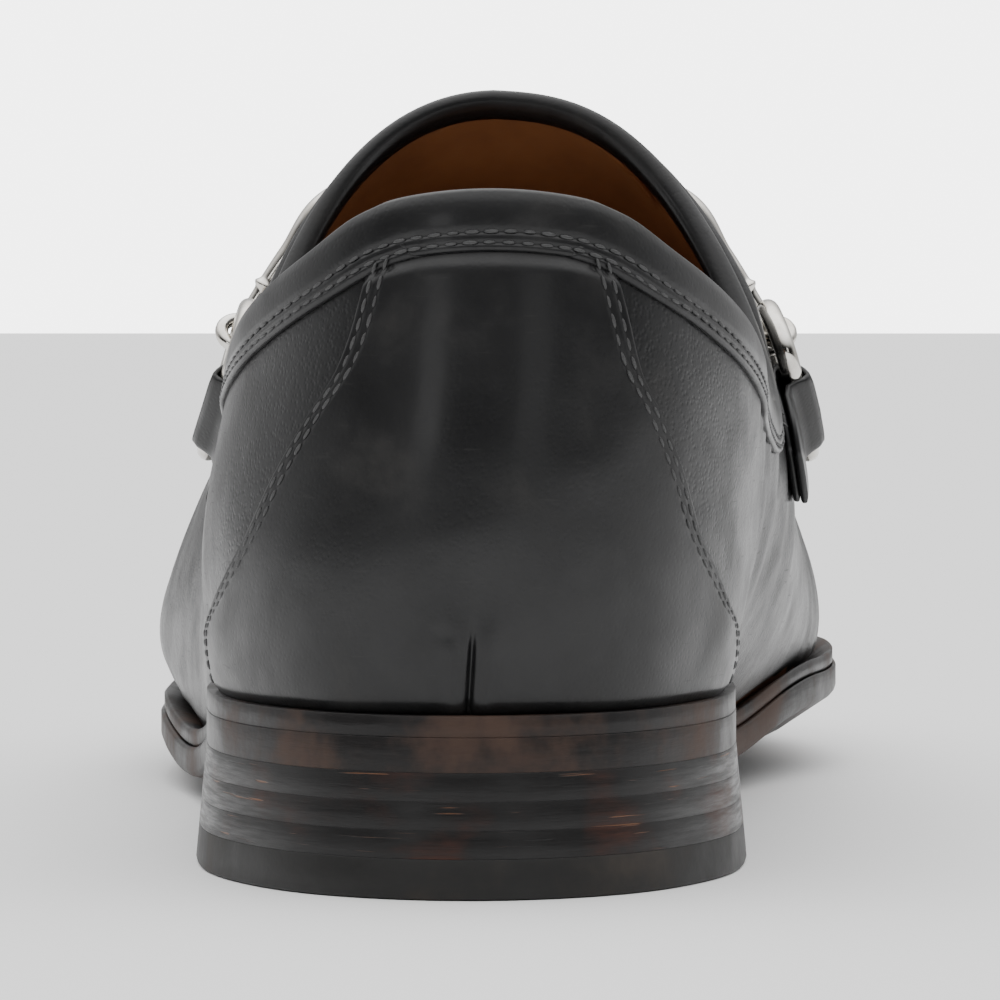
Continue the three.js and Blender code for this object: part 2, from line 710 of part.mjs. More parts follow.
function makeRing(side) {
  const { place } = ringFrame(side);
  const half = ringWidth / 2;
  const mirrored = [...ringRows].reverse();
  const points = [
    place(0, 0),
    ...ringRows.map((row) => place(row.across * half, row.along * ringLength)),
    place(0, ringLength),
    ...mirrored.map((row) => place(-row.across * half, row.along * ringLength)),
  ];
  const path = new THREE.CatmullRomCurve3(points, true, 'centripetal');
  return tube(path, ringTubeSteps, tubeSides, () => wireRadius, true);
}

const eyeSteps = 12;

function makeEye(side) {
  const { place, inward, lift } = ringFrame(side);
  const centre = place(0, ringLength);
  const points = Array.from({ length: eyeSteps }, (_, i) => {
    const turn = (2 * Math.PI * i) / eyeSteps;
    return centre.clone()
      .addScaledVector(inward, eyeReach * Math.cos(turn))
      .addScaledVector(lift, eyeReach * Math.sin(turn));
  });
  return tube(new THREE.CatmullRomCurve3(points, true), eyeSteps, 6, () => eyeRadius, true);
}

const barSteps = 22;
const beadShare = 0.16; // half length of the bead as a share of half the bar
const barPlaces = [0.45, 0.85]; // shares of the bar's rise where it follows the upper

function makeBar() {
  const [from, to] = [1, -1].map((side) => ringFrame(side).place(0, ringLength + eyeReach + 0.5 * eyeRadius));
  const y = (from.y + to.y) / 2;
  const clear = saddleTop + beadRadius + 2 * gap;
  const beside = saddleTop + barRadius + gap;
  const crown = new THREE.Vector3(ridgeX(y), y, ridgeHeight(y) + clear);
  const over = (side, end, share) => {
    const z = mix(end.z, crown.z - clear, share);
    return surfaceAt(side, y, z, mix(beside, clear, share ** 2));
  };
  const medial = barPlaces.map((share) => over(1, from, share));
  const lateral = barPlaces.map((share) => over(-1, to, share)).reverse();
  const path = new THREE.CatmullRomCurve3([from, ...medial, crown, ...lateral, to], false, 'centripetal');
  const radiusAt = (share) => {
    const out = Math.abs(2 * share - 1);
    const bead = beadRadius * Math.sqrt(Math.max(0, 1 - (out / beadShare) ** 2));
    return Math.max(mix(barRadius, eyeRadius, out ** 2), bead);
  };
  const bar = solidOf(tube(path, barSteps, tubeSides, radiusAt, false));
  return geometryFrom(bar.add(solidOf(makeEye(1))).add(solidOf(makeEye(-1))));
}

// Materials
const blackLeather = () => new THREE.MeshStandardMaterial({ color: 0x17171a, roughness: 0.42, metalness: 0 });
const soleLeather = () => new THREE.MeshStandardMaterial({ color: 0x2a1f1a, roughness: 0.6, metalness: 0 });
const sockLeather = () => new THREE.MeshStandardMaterial({ color: 0x9a6238, roughness: 0.65, metalness: 0 });
const rubber = () => new THREE.MeshStandardMaterial({ color: 0x1c1b1a, roughness: 0.7, metalness: 0 });
const bitMetal = () => new THREE.MeshStandardMaterial({ color: 0xc9c6bf, roughness: 0.22, metalness: 1 });

// Assembly
const shoe = new THREE.Group();

function addPiece(name, geometry, material) {
  const mesh = new THREE.Mesh(geometry, material);
  mesh.name = name;
  shoe.add(mesh);
}

addPiece('upper', makeUpper(), blackLeather());
addPiece('insole', makeInsole(), sockLeather());
addPiece('welt', makeWelt(), blackLeather());
addPiece('outsole', makeOutsole(), soleLeather());
addPiece('top_lift', makeHeelPiece(0, topLiftThickness), rubber());
for (let i = 0; i < liftCount; i += 1) {
  const high = heelSeat - i * liftThickness;
  addPiece(`heel_lift_${i + 1}`, makeHeelPiece(high - liftThickness, high), soleLeather());
}
addPiece('counter', makeCounter(), blackLeather());
addPiece('collar_binding', makeCollarBinding(), blackLeather());
addPiece('saddle_strap', makeSaddle(), blackLeather());
for (const [name, side] of [['medial', 1], ['lateral', -1]]) {
  addPiece(`strap_${name}`, makeStrap(side), blackLeather());
  addPiece(`bit_ring_${name}`, makeRing(side), bitMetal());
}
addPiece('bit_bar', makeBar(), bitMetal());

// The origin lies under the middle of the shoe, on the floor
const box = new THREE.Box3().setFromObject(shoe);
const middle = box.getCenter(new THREE.Vector3());
shoe.position.set(-middle.x, -middle.y, -box.min.z);

const part = new THREE.Group();
part.add(shoe);

export default part;
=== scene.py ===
import math

import bmesh
import bpy
import numpy as np
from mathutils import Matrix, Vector


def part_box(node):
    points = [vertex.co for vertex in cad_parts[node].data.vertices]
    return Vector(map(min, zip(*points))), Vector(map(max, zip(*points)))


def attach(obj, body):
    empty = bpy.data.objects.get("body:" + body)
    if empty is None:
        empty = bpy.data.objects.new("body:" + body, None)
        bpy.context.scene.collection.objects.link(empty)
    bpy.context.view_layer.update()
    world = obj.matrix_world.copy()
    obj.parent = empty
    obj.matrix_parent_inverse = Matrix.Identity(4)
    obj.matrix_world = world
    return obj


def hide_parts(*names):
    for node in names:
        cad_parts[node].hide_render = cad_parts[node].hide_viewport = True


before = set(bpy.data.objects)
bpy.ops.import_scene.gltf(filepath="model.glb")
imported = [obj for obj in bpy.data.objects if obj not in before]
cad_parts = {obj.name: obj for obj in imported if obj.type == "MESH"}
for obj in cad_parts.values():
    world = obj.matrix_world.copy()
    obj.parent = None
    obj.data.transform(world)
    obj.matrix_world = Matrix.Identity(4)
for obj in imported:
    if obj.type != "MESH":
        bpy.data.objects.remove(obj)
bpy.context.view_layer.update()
print("frame loaded")

# The last, in millimetres from the back of the outsole: the same sizes as the solids
last = {
    "length": 295.0,
    "ball": 101.4,
    "heel": 67.4,
    "instep": 99.0,
    "back": 83.4,
    "toeSpring": 16.0,
    "outsole": 4.2,
    "welt": 2.0,
    "gap": 0.3,
    "edge": 4.4,
    "insole": 3.0,
    "heelSeat": 15.1,
    "heelLength": 60.0,
    "shankGap": 12.0,
    "curlMedial": 11.0,
    "curlLateral": 6.0,
    "wall": 1.8,
    "bulge": 12.0,
    "lean": 2.8,
}
deck = last["outsole"] + last["welt"] + 2 * last["gap"]

sectionNames = ("along", "inner", "outer", "edge", "bulgeIn", "bulgeOut", "bulgeAt", "fullIn", "fullOut")
sectionRows = np.array([
    (0.00, 0.000, 0.000, 0.59, 0.24, 0.24, 0.23, 2.8, 2.8),
    (0.02, 0.228, 0.228, 0.56, 0.24, 0.24, 0.23, 2.8, 2.8),
    (0.05, 0.338, 0.338, 0.52, 0.25, 0.25, 0.23, 2.8, 2.8),
    (0.10, 0.430, 0.430, 0.50, 0.27, 0.26, 0.23, 2.8, 2.8),
    (0.16, 0.466, 0.470, 0.46, 0.32, 0.26, 0.24, 2.8, 2.7),
    (0.22, 0.463, 0.474, 0.42, 0.42, 0.26, 0.26, 2.8, 2.6),
    (0.30, 0.420, 0.477, 0.36, 0.72, 0.28, 0.30, 2.8, 2.4),
    (0.38, 0.374, 0.460, 0.34, 1.02, 0.18, 0.34, 2.8, 2.2),
    (0.46, 0.378, 0.448, 0.50, 1.00, 0.16, 0.34, 2.7, 2.1),
    (0.54, 0.421, 0.442, 0.80, 0.58, 0.28, 0.27, 2.5, 2.1),
    (0.60, 0.455, 0.435, 0.95, 0.32, 0.42, 0.22, 2.3, 2.1),
    (0.66, 0.480, 0.427, 1.00, 0.20, 0.46, 0.21, 2.2, 2.2),
    (0.70, 0.486, 0.419, 1.00, 0.19, 0.42, 0.22, 2.2, 2.2),
    (0.76, 0.474, 0.396, 1.00, 0.22, 0.34, 0.26, 2.3, 2.3),
    (0.82, 0.440, 0.363, 1.00, 0.27, 0.28, 0.26, 2.4, 2.4),
    (0.88, 0.384, 0.306, 1.00, 0.28, 0.28, 0.26, 2.5, 2.5),
    (0.94, 0.294, 0.215, 1.00, 0.28, 0.28, 0.26, 2.6, 2.6),
    (0.98, 0.196, 0.100, 1.00, 0.28, 0.28, 0.26, 2.6, 2.6),
    (1.00, 0.049, -0.049, 1.00, 0.28, 0.28, 0.26, 2.6, 2.6),
])
section = {name: sectionRows[:, i] for i, name in enumerate(sectionNames)}

# Ridge: share of the length, share of the instep height, share of the ball width
ridgeRows = np.array([
    (0.112, 1.293, 0.000), (0.203, 1.232, 0.004), (0.305, 1.131, 0.014), (0.373, 1.066, 0.018),
    (0.427, 1.000, 0.021), (0.475, 0.914, 0.024), (0.542, 0.788, 0.029), (0.610, 0.677, 0.030),
    (0.678, 0.591, 0.033), (0.746, 0.530, 0.038), (0.814, 0.490, 0.044), (0.864, 0.460, 0.049),
])

# Top line from the side: shares of the length and of the back height, then of the instep height
quarterLine = [
    (-0.060, 1.081), (0.012, 1.000), (0.030, 0.970), (0.058, 0.905),
    (0.119, 0.822), (0.203, 0.750), (0.288, 0.700), (0.349, 0.679),
]
tongueLine = [(0.381, 0.640), (0.402, 0.760), (0.417, 0.885), (0.427, 1.000), (0.436, 1.130)]

counterRows = [
    (0.262, 0.156), (0.300, 0.149), (0.355, 0.129), (0.408, 0.098), (0.496, 0.067),
    (0.588, 0.051), (0.671, 0.039), (0.751, 0.029), (0.900, 0.026),
]


def mix(a, b, share):
    return a + (b - a) * share


def smooth(low, high, x):
    share = np.clip((x - low) / (high - low), 0, 1)
    return share * share * (3 - 2 * share)


def curveOf(knots, values, period=None):
    knots, values = np.array(knots, float), np.array(values, float)
    low, high = knots[0], knots[-1]
    if period:
        knots = np.concatenate([knots[-2:] - period, knots, knots[:3] + period])
        values = np.concatenate([values[-2:], values, values[:3]])
    slope = np.gradient(values, knots)
    slope[1:-1] = (values[2:] - values[:-2]) / (knots[2:] - knots[:-2])

    def at(x):
        x = np.mod(x, period) if period else np.clip(x, low, high)
        i = np.clip(np.searchsorted(knots, x, side="right") - 1, 0, len(knots) - 2)
        span = knots[i + 1] - knots[i]
        t = (x - knots[i]) / span
        rise = values[i + 1] - values[i]
        first, second = slope[i] * span, slope[i + 1] * span
        return values[i] + t * (first + t * (3 * rise - 2 * first - second + t * (first + second - 2 * rise)))

    return at


def around(inner, outer):
    angles = np.arccos(1 - 2 * section["along"])
    back = np.arange(len(angles) - 2, 0, -1)
    knots = np.concatenate([angles, 2 * math.pi - angles[back]])
    return curveOf(knots, np.concatenate([inner, outer[back]]), 2 * math.pi)


localWidth = mix(last["heel"], last["ball"], smooth(0.22, 0.66, section["along"]))
footX = around(section["inner"] * localWidth, -section["outer"] * localWidth)
edgeAt = around(section["edge"] * last["edge"], section["edge"] * last["edge"])
bulgeOf = around(section["bulgeIn"] * last["bulge"], section["bulgeOut"] * last["bulge"])
bulgeLevel = around(section["bulgeAt"], section["bulgeAt"])
fullness = around(section["fullIn"], section["fullOut"])

footBack = section["edge"][0] * last["edge"]
footLength = last["length"] - footBack - section["edge"][-1] * last["edge"]
ridgeKnots = ridgeRows[:, 0] * last["length"]
ridgeHeight = curveOf(ridgeKnots, ridgeRows[:, 1] * last["instep"])
ridgeX = curveOf(ridgeKnots, ridgeRows[:, 2] * last["ball"])


def footY(angle):
    return footBack + footLength * (1 - np.cos(angle)) / 2


def footNormal(angle):
    step = 0.002
    dx = footX(angle + step) - footX(angle - step)
    dy = footY(angle + step) - footY(angle - step)
    size = np.hypot(dx, dy)
    return dy / size, -dx / size


def outline(angle, beyond):
    nx, ny = footNormal(angle)
    return footX(angle) + nx * beyond, footY(angle) + ny * beyond


def soleRise(x, y):
    length = last["length"]
    start = last["heelLength"] + last["shankGap"]
    fall = np.clip((y - start) / (0.508 * length - start), 0, 1)
    spring = last["toeSpring"] * np.clip((y / length - 0.624) / 0.376, 0, 1.1) ** 1.9
    profile = last["heelSeat"] * (1 + np.cos(math.pi * fall)) / 2 + spring
    angle = np.arccos(np.clip(1 - 2 * (y - footBack) / footLength, -1, 1))
    inner = footX(angle) + edgeAt(angle)
    outer = footX(2 * math.pi - angle) - edgeAt(angle)
    share = (2 * x - inner - outer) / (inner - outer)
    weight = smooth(0.37 * length, 0.6 * length, y) * (1 - smooth(0.68 * length, length, y))
    turned = np.clip((np.abs(share) - 0.43) / 0.57, 0, 1.1) ** 2
    return profile + weight * np.where(share > 0, last["curlMedial"], last["curlLateral"]) * turned


# The quarters lean towards the medial side at half height
def leanOf(y, level):
    length = last["length"]
    along = 1 - smooth(0.2 * length, 0.7 * length, y)
    return last["lean"] * along * np.sin(math.pi * level) * smooth(0.05, 0.45, level)


# A point of the upper: angle round the foot, level from feather line to ridge, beyond is outwards
def surface(angle, level, beyond=0.0):
    x, y = outline(angle, beyond)
    spineY = mix(ridgeKnots[0], ridgeKnots[-1], (1 - np.cos(angle)) / 2)
    power = fullness(angle)
    reach = np.clip(1 - np.clip(level, 0, 1) ** power, 0, 1) ** (1 / power)
    rise = level / bulgeLevel(angle)
    swell = bulgeOf(angle) * rise * np.exp(1 - rise) * reach
    nx, ny = footNormal(angle)
    low = soleRise(x, y) + deck
    return np.stack([
        mix(ridgeX(spineY), x, reach) + nx * swell + leanOf(footY(angle), level),
        mix(spineY, y, reach) + ny * swell,
        mix(low, ridgeHeight(spineY) + beyond, level),
    ], -1)


def levelAt(angle, z, beyond):
    low = surface(angle, np.zeros_like(angle), beyond)[..., 2]
    high = surface(angle, np.ones_like(angle), beyond)[..., 2]
    return np.clip((z - low) / (high - low), 0, 1)


# Angle and level of the points that show at y and z in the side view
def fromSide(side, y, z, beyond=0.0):
    near, far = np.zeros_like(y), np.full_like(y, math.pi)
    for _ in range(30):
        half = (near + far) / 2
        angle = half if side > 0 else 2 * math.pi - half
        behind = surface(angle, levelAt(angle, z, beyond), beyond)[..., 1] < y
        near, far = np.where(behind, half, near), np.where(behind, far, half)
    angle = (near + far) / 2
    angle = angle if side > 0 else 2 * math.pi - angle
    return angle, levelAt(angle, z, beyond)


def runAlong(points):
    steps = np.linalg.norm(np.diff(points, axis=0), axis=1)
    return np.concatenate([[0], np.cumsum(steps)])


def sidePath(points, count=900):
    points = np.array(points, float)
    knots = np.arange(len(points))
    dense = np.linspace(0, len(points) - 1, count)
    return np.stack([curveOf(knots, points[:, 0])(dense), curveOf(knots, points[:, 1])(dense)], -1)


topPath = sidePath(
    [(a * last["length"], h * last["back"]) for a, h in quarterLine]
    + [(a * last["length"], h * last["instep"]) for a, h in tongueLine]
)


def offsetPath(path, offset):
    tangent = np.gradient(path, axis=0)
    tangent /= np.linalg.norm(tangent, axis=1)[:, None]
    offset = np.broadcast_to(offset, len(path))
    return path + np.stack([-tangent[:, 1], tangent[:, 0]], -1) * offset[:, None]


# The stretch of a side path that lies on the upper, from the back to the ridge
def pathEnds(path, beyond):
    y, z = path[:, 0], path[:, 1]
    back = surface(np.zeros_like(z), levelAt(np.zeros_like(z), z, beyond), beyond)[:, 1]
    inside = (y > back) & (z < ridgeHeight(y) + beyond)
    first = int(np.argmax(inside))
    stop = first + int(np.argmin(inside[first:])) if not inside[first:].all() else len(y)
    gapBack, gapTop = y - back, ridgeHeight(y) + beyond - z
    start, end = float(first), float(stop - 1)
    if first > 0:
        start = first - gapBack[first] / (gapBack[first] - gapBack[first - 1])
    if stop < len(y):
        end = stop - 1 + gapTop[stop - 1] / (gapTop[stop - 1] - gapTop[stop])
    return start, end, first > 0, stop < len(y)


def alongPath(side, path, beyond, shares):
    start, end, fromBack, toRidge = pathEnds(path, beyond)
    at, knots = start + (end - start) * shares, np.arange(len(path), dtype=float)
    y, z = np.interp(at, knots, path[:, 0]), np.interp(at, knots, path[:, 1])
    angle, level = fromSide(side, y, z, beyond)
    if fromBack:
        angle[0] = 0.0 if side > 0 else 2 * math.pi
    if toRidge:
        level[-1] = 1.0
    return angle, level


# Shares that space the points evenly on the surface
def evenShares(side, path, beyond, count):
    dense = np.linspace(0, 1, 400) ** 2
    run = runAlong(surface(*alongPath(side, path, beyond, dense), beyond))
    return np.interp(np.linspace(0, run[-1], count), run, dense)


def onSurface(side, path, beyond, count):
    return alongPath(side, path, beyond, evenShares(side, path, beyond, count))


# Shoe millimetres to the frame's metres
soleAngles = np.linspace(0, 2 * math.pi, 721)
soleEdgeX, soleEdgeY = outline(soleAngles, edgeAt(soleAngles))
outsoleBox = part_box("outsole")
shift = np.array([
    outsoleBox[1].x * 1000 - soleEdgeX.max(),
    outsoleBox[0].y * 1000 - soleEdgeY.min(),
    0.0,
])


def toFrame(points):
    return (np.asarray(points) + shift) / 1000


def normalsOf(grid, wrap):
    if wrap:
        across = np.roll(grid, -1, 1) - np.roll(grid, 1, 1)
    else:
        across = np.gradient(grid, axis=1)
    up = np.gradient(grid, axis=0)
    normal = np.cross(across, up)
    size = np.linalg.norm(normal, axis=2, keepdims=True)
    return normal / np.maximum(size, 1e-9)


def meshObject(name, points, faces, weld=1e-6):
    mesh = bpy.data.meshes.new(name)
    mesh.from_pydata(points.tolist(), [], faces.tolist() if hasattr(faces, "tolist") else faces)
    work = bmesh.new()
    work.from_mesh(mesh)
    bmesh.ops.remove_doubles(work, verts=work.verts, dist=weld)
    bmesh.ops.dissolve_degenerate(work, edges=work.edges, dist=weld / 4)
    work.to_mesh(mesh)
    work.free()
    mesh.polygons.foreach_set("use_smooth", [True] * len(mesh.polygons))
    made = bpy.data.objects.new(name, mesh)
    bpy.context.scene.collection.objects.link(made)
    return made


# Quads of a grid whose points are numbered row by row
def gridFaces(rows, columns, wrapColumns, wrapRows=False, first=0):
    r = np.arange(rows if wrapRows else rows - 1)
    c = np.arange(columns if wrapColumns else columns - 1)
    r, c = [axis.ravel() for axis in np.meshgrid(r, c, indexing="ij")]
    r2, c2 = (r + 1) % rows, (c + 1) % columns
    return first + np.stack([r * columns + c, r * columns + c2, r2 * columns + c2, r2 * columns + c], -1)


# A closed shell between an outer and an inner grid, open columns welded where they meet
def shell(name, outer, inner, wrap, joined=None):
    rows, columns = outer.shape[:2]
    size = rows * columns
    faces = [gridFaces(rows, columns, wrap), gridFaces(rows, columns, wrap, first=size)[:, ::-1]]
    c = np.arange(columns if wrap else columns - 1)
    c2 = (c + 1) % columns
    low = np.stack([c2, c, c + size, c2 + size], -1)
    top = size - columns
    high = np.stack([top + c, top + c2, top + c2 + size, top + c + size], -1)
    if joined is not None:
        high = high[~joined[c] | ~joined[c2]]
    faces += [low, high]
    if not wrap:
        r = np.arange(rows - 1)
        faces.append(np.stack([r * columns, (r + 1) * columns, (r + 1) * columns + size, r * columns + size], -1))
        end = columns - 1
        right = np.stack([r * columns + end, (r + 1) * columns + end], -1)
        faces.append(np.stack([right[:, 1], right[:, 0], right[:, 0] + size, right[:, 1] + size], -1))
    points = np.concatenate([outer.reshape(-1, 3), inner.reshape(-1, 3)])
    return meshObject(name, toFrame(points), np.concatenate(faces))


def sided(turn, side):
    return turn if side > 0 else 2 * math.pi - turn


# Soft waves from a few fixed sines, about -1 to 1
def ripples(p, size, seed=0):
    total = 0
    chance = np.random.default_rng(seed)
    for _ in range(6):
        way = chance.normal(size=3)
        way *= 2 * math.pi / (size * np.linalg.norm(way) * chance.uniform(0.7, 1.5))
        total = total + np.sin(p @ way + chance.uniform(0, 2 * math.pi))
    return total / 3


def bell(x, width):
    return np.exp(-(x / width) ** 2)


# The upper's grid: columns from the feather line to the top line, then to the ridge
upper = {"half": 190, "rows": 91, "tongueShare": 0.56, "leather": 1.0, "tuck": 0.8}


def upperColumns():
    half = upper["half"]
    peak = int(round(half * upper["tongueShare"]))
    feet, tops, levels = [], [], []
    dense = np.linspace(0, math.pi, 2000)
    for side in (1, -1):
        topAngle, topLevel = onSurface(side, topPath, 0.0, peak + 1)
        forward = np.linspace(sided(topAngle[-1], side), math.pi, 600)
        run = runAlong(surface(forward, np.ones_like(forward)))
        ridge = sided(np.interp(np.linspace(0, run[-1], half - peak + 1)[1:], run, forward), side)
        tops.append(np.concatenate([topAngle, ridge]))
        levels.append(np.concatenate([topLevel, np.ones(half - peak)]))
        run = runAlong(surface(sided(dense, side), np.zeros_like(dense)))
        feet.append(sided(np.interp(np.linspace(0, run[-1], half + 1), run, dense), side))
    back = slice(half - 1, 0, -1)
    columns = [np.concatenate([pair[0], pair[1][back]]) for pair in (feet, tops, levels)]
    index = np.arange(half + 1)
    return *columns, np.concatenate([index, index[back]]), peak


feet, tops, topLevels, columnIndex, peakColumn = upperColumns()
ridgeColumns = columnIndex >= peakColumn


def upperGrid(beyond):
    s = np.linspace(0, 1, upper["rows"])[:, None]
    ridgeWeight = 0.25 + 0.75 * smooth(peakColumn - 14, peakColumn + 4, columnIndex)
    share = mix(s, np.sin(s * math.pi / 2), ridgeWeight)
    level = np.where((s == 1) & ridgeColumns, 1.0, topLevels * share)
    return surface(mix(feet, tops, share), level, beyond)


# Creases where the vamp bends: place along the shoe, lean, depth and width in millimetres
creases = [(163, 6, 0.55, 2.2), (173, 3, 1.00, 2.6), (185, -1, 0.85, 2.4), (197, -4, 0.55, 2.8), (208, -7, 0.3, 3.0)]


def creaseRelief(p):
    x, y = p[..., 0], p[..., 1]
    off = (x - ridgeX(y)) / 50
    total = np.zeros_like(x)
    sway = 1.6 * np.sin(off * 4.0 + 1.0)
    for place, lean, depth, width in creases:
        ahead = y - (place + lean * off + 9.0 * off * off + sway)
        across = np.exp(-((off - 0.05 * lean / 6) / 0.85) ** 4)
        total -= depth * bell(ahead, width) * across
        total += 0.4 * depth * bell(ahead + 2.3 * width, 1.3 * width) * across
        total += 0.3 * depth * bell(ahead - 2.3 * width, 1.3 * width) * across
    return total


apron = {"width": 50.0, "seam": 2.6, "height": 1.3, "start": 0.535, "end": 0.905, "swell": 1.04, "round": 1.05}


# Distance from the apron seam seen from above, positive outside it
def apronDistance(p):
    x = p[..., 0] - ridgeX(apron["end"] * last["length"])
    y = p[..., 1]
    half = apron["width"] / 2
    start, end = apron["start"] * last["length"], apron["end"] * last["length"]
    shoulder = end - apron["round"] * half
    swell = np.sin(np.clip((y - start) / (shoulder - start), 0, 1) * math.pi)
    straight = np.abs(x) - half * (1 + (apron["swell"] - 1) * swell)
    toe = np.hypot(x, (y - shoulder) / apron["round"]) - half
    return np.where(y < shoulder, straight, toe)


def apronRelief(p):
    distance = apronDistance(p)
    start = apron["start"] * last["length"]
    fade = smooth(start - 8, start + 2, p[..., 1])
    ridge = apron["height"] * np.exp(-(distance / (apron["seam"] * 0.48)) ** 4)
    valley = -0.4 * bell(distance - 2.4, 0.9) - 0.25 * bell(distance + 2.4, 0.9)
    return (ridge + valley) * fade


def quarterRelief(p):
    x, y, z = p[..., 0], p[..., 1], p[..., 2]
    body = smooth(40, 70, y) * (1 - smooth(125, 150, y)) * smooth(26, 36, z) * (1 - smooth(58, 70, z))
    folds = np.sin((y - 0.5 * z) * 0.42 + 0.6 * np.sin(z * 0.16)) * np.where(x > 0, 0.26, 0.14)
    return body * folds + 0.10 * ripples(p, 26, 3)


def footTuck(grid, depth, height):
    return -depth * (1 - smooth(0, height, grid[..., 2] - grid[:1, :, 2]))


def makeUpper():
    base = upperGrid(0.0)
    normal = normalsOf(base, True)
    crease = creaseRelief(base)
    relief = crease + apronRelief(base) + quarterRelief(base) + footTuck(base, upper["tuck"], 2.4)
    outer = base + normal * relief[..., None]
    inner = upperGrid(-upper["leather"]) + normal * np.minimum(relief, 0)[..., None]
    for sheet in (outer, inner):
        sheet[0, :, 2] -= last["gap"]
    return shell("upper_leather", outer, inner, True, ridgeColumns)


def makeLining():
    base = upperGrid(0.0)
    sink = np.minimum(creaseRelief(base), 0)[..., None] * normalsOf(base, True)
    outer, inner = [(upperGrid(beyond) + sink)[::2, ::2] for beyond in (-1.06, -last["wall"])]
    return shell("lining", outer, inner, True, ridgeColumns[::2])


# The collar binding, a folded band over the rim
band = {
    "onQuarters": 6.4, "onTongue": 3.0, "leather": 0.8, "narrowFrom": 0.35, "narrowTo": 0.40,
    "columns": 260, "stitchRows": (-0.66, -0.86), "inside": 0.68,
}


def bandWidth(y):
    length = last["length"]
    return mix(band["onQuarters"], band["onTongue"], smooth(band["narrowFrom"] * length, band["narrowTo"] * length, y))


# Rows of the binding: share of its width below the top line, rise above it and distance beyond the upper
def bandRows():
    wall, skin = last["wall"], band["leather"]
    rows = [(-1.0, 0, 0.02), (-1.0, 0, 0.5), (-0.975, 0, skin - 0.08), (-0.93, 0, skin)]
    for place in np.linspace(-0.90, -0.60, 13):
        dip = sum(bell(place - at, 0.035) for at in band["stitchRows"])
        rows.append((place, 0, skin + 0.02 - 0.2 * dip))
    rows += [(-0.5, 0, skin + 0.12), (-0.3, 0, skin + 0.16), (-0.12, 0, skin + 0.12)]
    centre, radius = -wall / 2, wall / 2 + skin
    for turn in np.linspace(0.12, 0.88, 9) * math.pi:
        rows.append((0, radius * math.sin(turn) * 0.8, centre + radius * math.cos(turn)))
    inside = band["inside"]
    rows += [(-0.2, 0, -wall - skin), (-inside + 0.06, 0, -wall - skin), (-inside, 0, -wall - skin * 0.6)]
    rows.append((-inside, 0, -wall - 0.02))
    return rows


collarShares = {}


# A closed line round the collar, at a share of the band's width below the top line
def collarLoop(share, rise, beyond, count):
    path = offsetPath(topPath, share * bandWidth(topPath[:, 0]) + rise)
    halves = []
    for side in (1, -1):
        if (side, count) not in collarShares:
            collarShares[side, count] = evenShares(side, topPath, 0.0, count + 1)
        halves.append(surface(*alongPath(side, path, beyond, collarShares[side, count]), beyond))
    return np.concatenate([halves[0], halves[1][-2:0:-1]])


def makeBand():
    points = np.stack([collarLoop(*row, band["columns"]) for row in bandRows()])
    faces = gridFaces(points.shape[0], points.shape[1], True, wrapRows=True)
    return meshObject("collar_band", toFrame(points.reshape(-1, 3)), faces)


# The counter, a panel round the back from the sole up to the binding
counter = {
    "leather": 1.15, "half": 110, "rows": 80, "under": 0.9, "edge": 0.75, "seams": (1.7, 3.3),
    "dartTop": 33.5, "dartDepth": 0.75,
}


def counterGrid(beyond):
    edge = curveOf([h * last["back"] for h, _ in counterRows], [a * last["length"] for _, a in counterRows])
    s = np.linspace(0, 1, counter["rows"])
    t = np.linspace(0, 1, counter["half"] + 1)
    t = 0.35 * t + 0.65 * t * t
    halves = []
    for side in (-1, 1):
        under = offsetPath(topPath, counter["under"] - bandWidth(topPath[:, 0]))
        capAngle, capLevel = onSurface(side, under, 0.0, 400)
        capTurn = sided(capAngle, side)
        z = np.linspace(16, last["back"], 500)
        angle, level = fromSide(side, edge(z), z)
        turn = sided(angle, side)
        rise = level / np.interp(turn, capTurn, capLevel)
        endTurn = np.interp(s, rise, turn)
        turns = t[None, :] * endTurn[:, None]
        levels = s[:, None] * np.interp(turns, capTurn, capLevel)
        half = surface(sided(turns, side), levels, beyond)
        halves.append(half)
    return np.concatenate([halves[0][:, :0:-1], halves[1]], 1)


# Distances in millimetres from the panel's front edges and from its top edge
def edgeDistances(grid):
    across = np.linalg.norm(np.diff(grid, axis=1), axis=2)
    zero = np.zeros((len(grid), 1))
    fromLeft = np.concatenate([zero, np.cumsum(across, 1)], 1)
    fromRight = fromLeft[:, -1:] - fromLeft
    upward = np.linalg.norm(np.diff(grid, axis=0), axis=2)
    climbed = np.concatenate([np.zeros((1, grid.shape[1])), np.cumsum(upward, 0)])
    return np.minimum(fromLeft, fromRight), climbed[-1:] - climbed, climbed


def makeCounter():
    base = counterGrid(0.0)
    normal = normalsOf(base, False)
    front, top, foot = edgeDistances(base)
    thick = 0.35 + (counter["leather"] - 0.35) * smooth(-0.05, counter["edge"], front) * smooth(0.9, 2.6, top)
    for seam in counter["seams"]:
        thick -= 0.14 * bell(front - seam, 0.3)
    x, z = base[..., 0], base[..., 2]
    fade = 1 - smooth(counter["dartTop"] - 5, counter["dartTop"] + 1, z)
    lean = x - 0.06 * (z - 22)
    thick += fade * (0.4 * bell(np.abs(lean) - 1.8, 1.2) - counter["dartDepth"] * bell(lean, 0.38))
    thick -= 0.6 * (1 - smooth(0, 2.2, foot))
    thick += 0.12 * ripples(base, 30, 5) * smooth(0, 8, front) + 0.05 * ripples(base, 9, 6)
    scuff = bell(x + 2.6, 1.5) * bell(z - 31.5, 0.5) + bell(x + 1.2, 0.6) * bell(z - 29.5, 1.8)
    thick -= 0.22 * scuff
    outer = base + normal * thick[..., None]
    inner = base + normal * 0.03
    outer[0, :, 2] -= last["gap"]
    inner[0, :, 2] -= last["gap"]
    return shell("heel_counter", outer, inner, False)


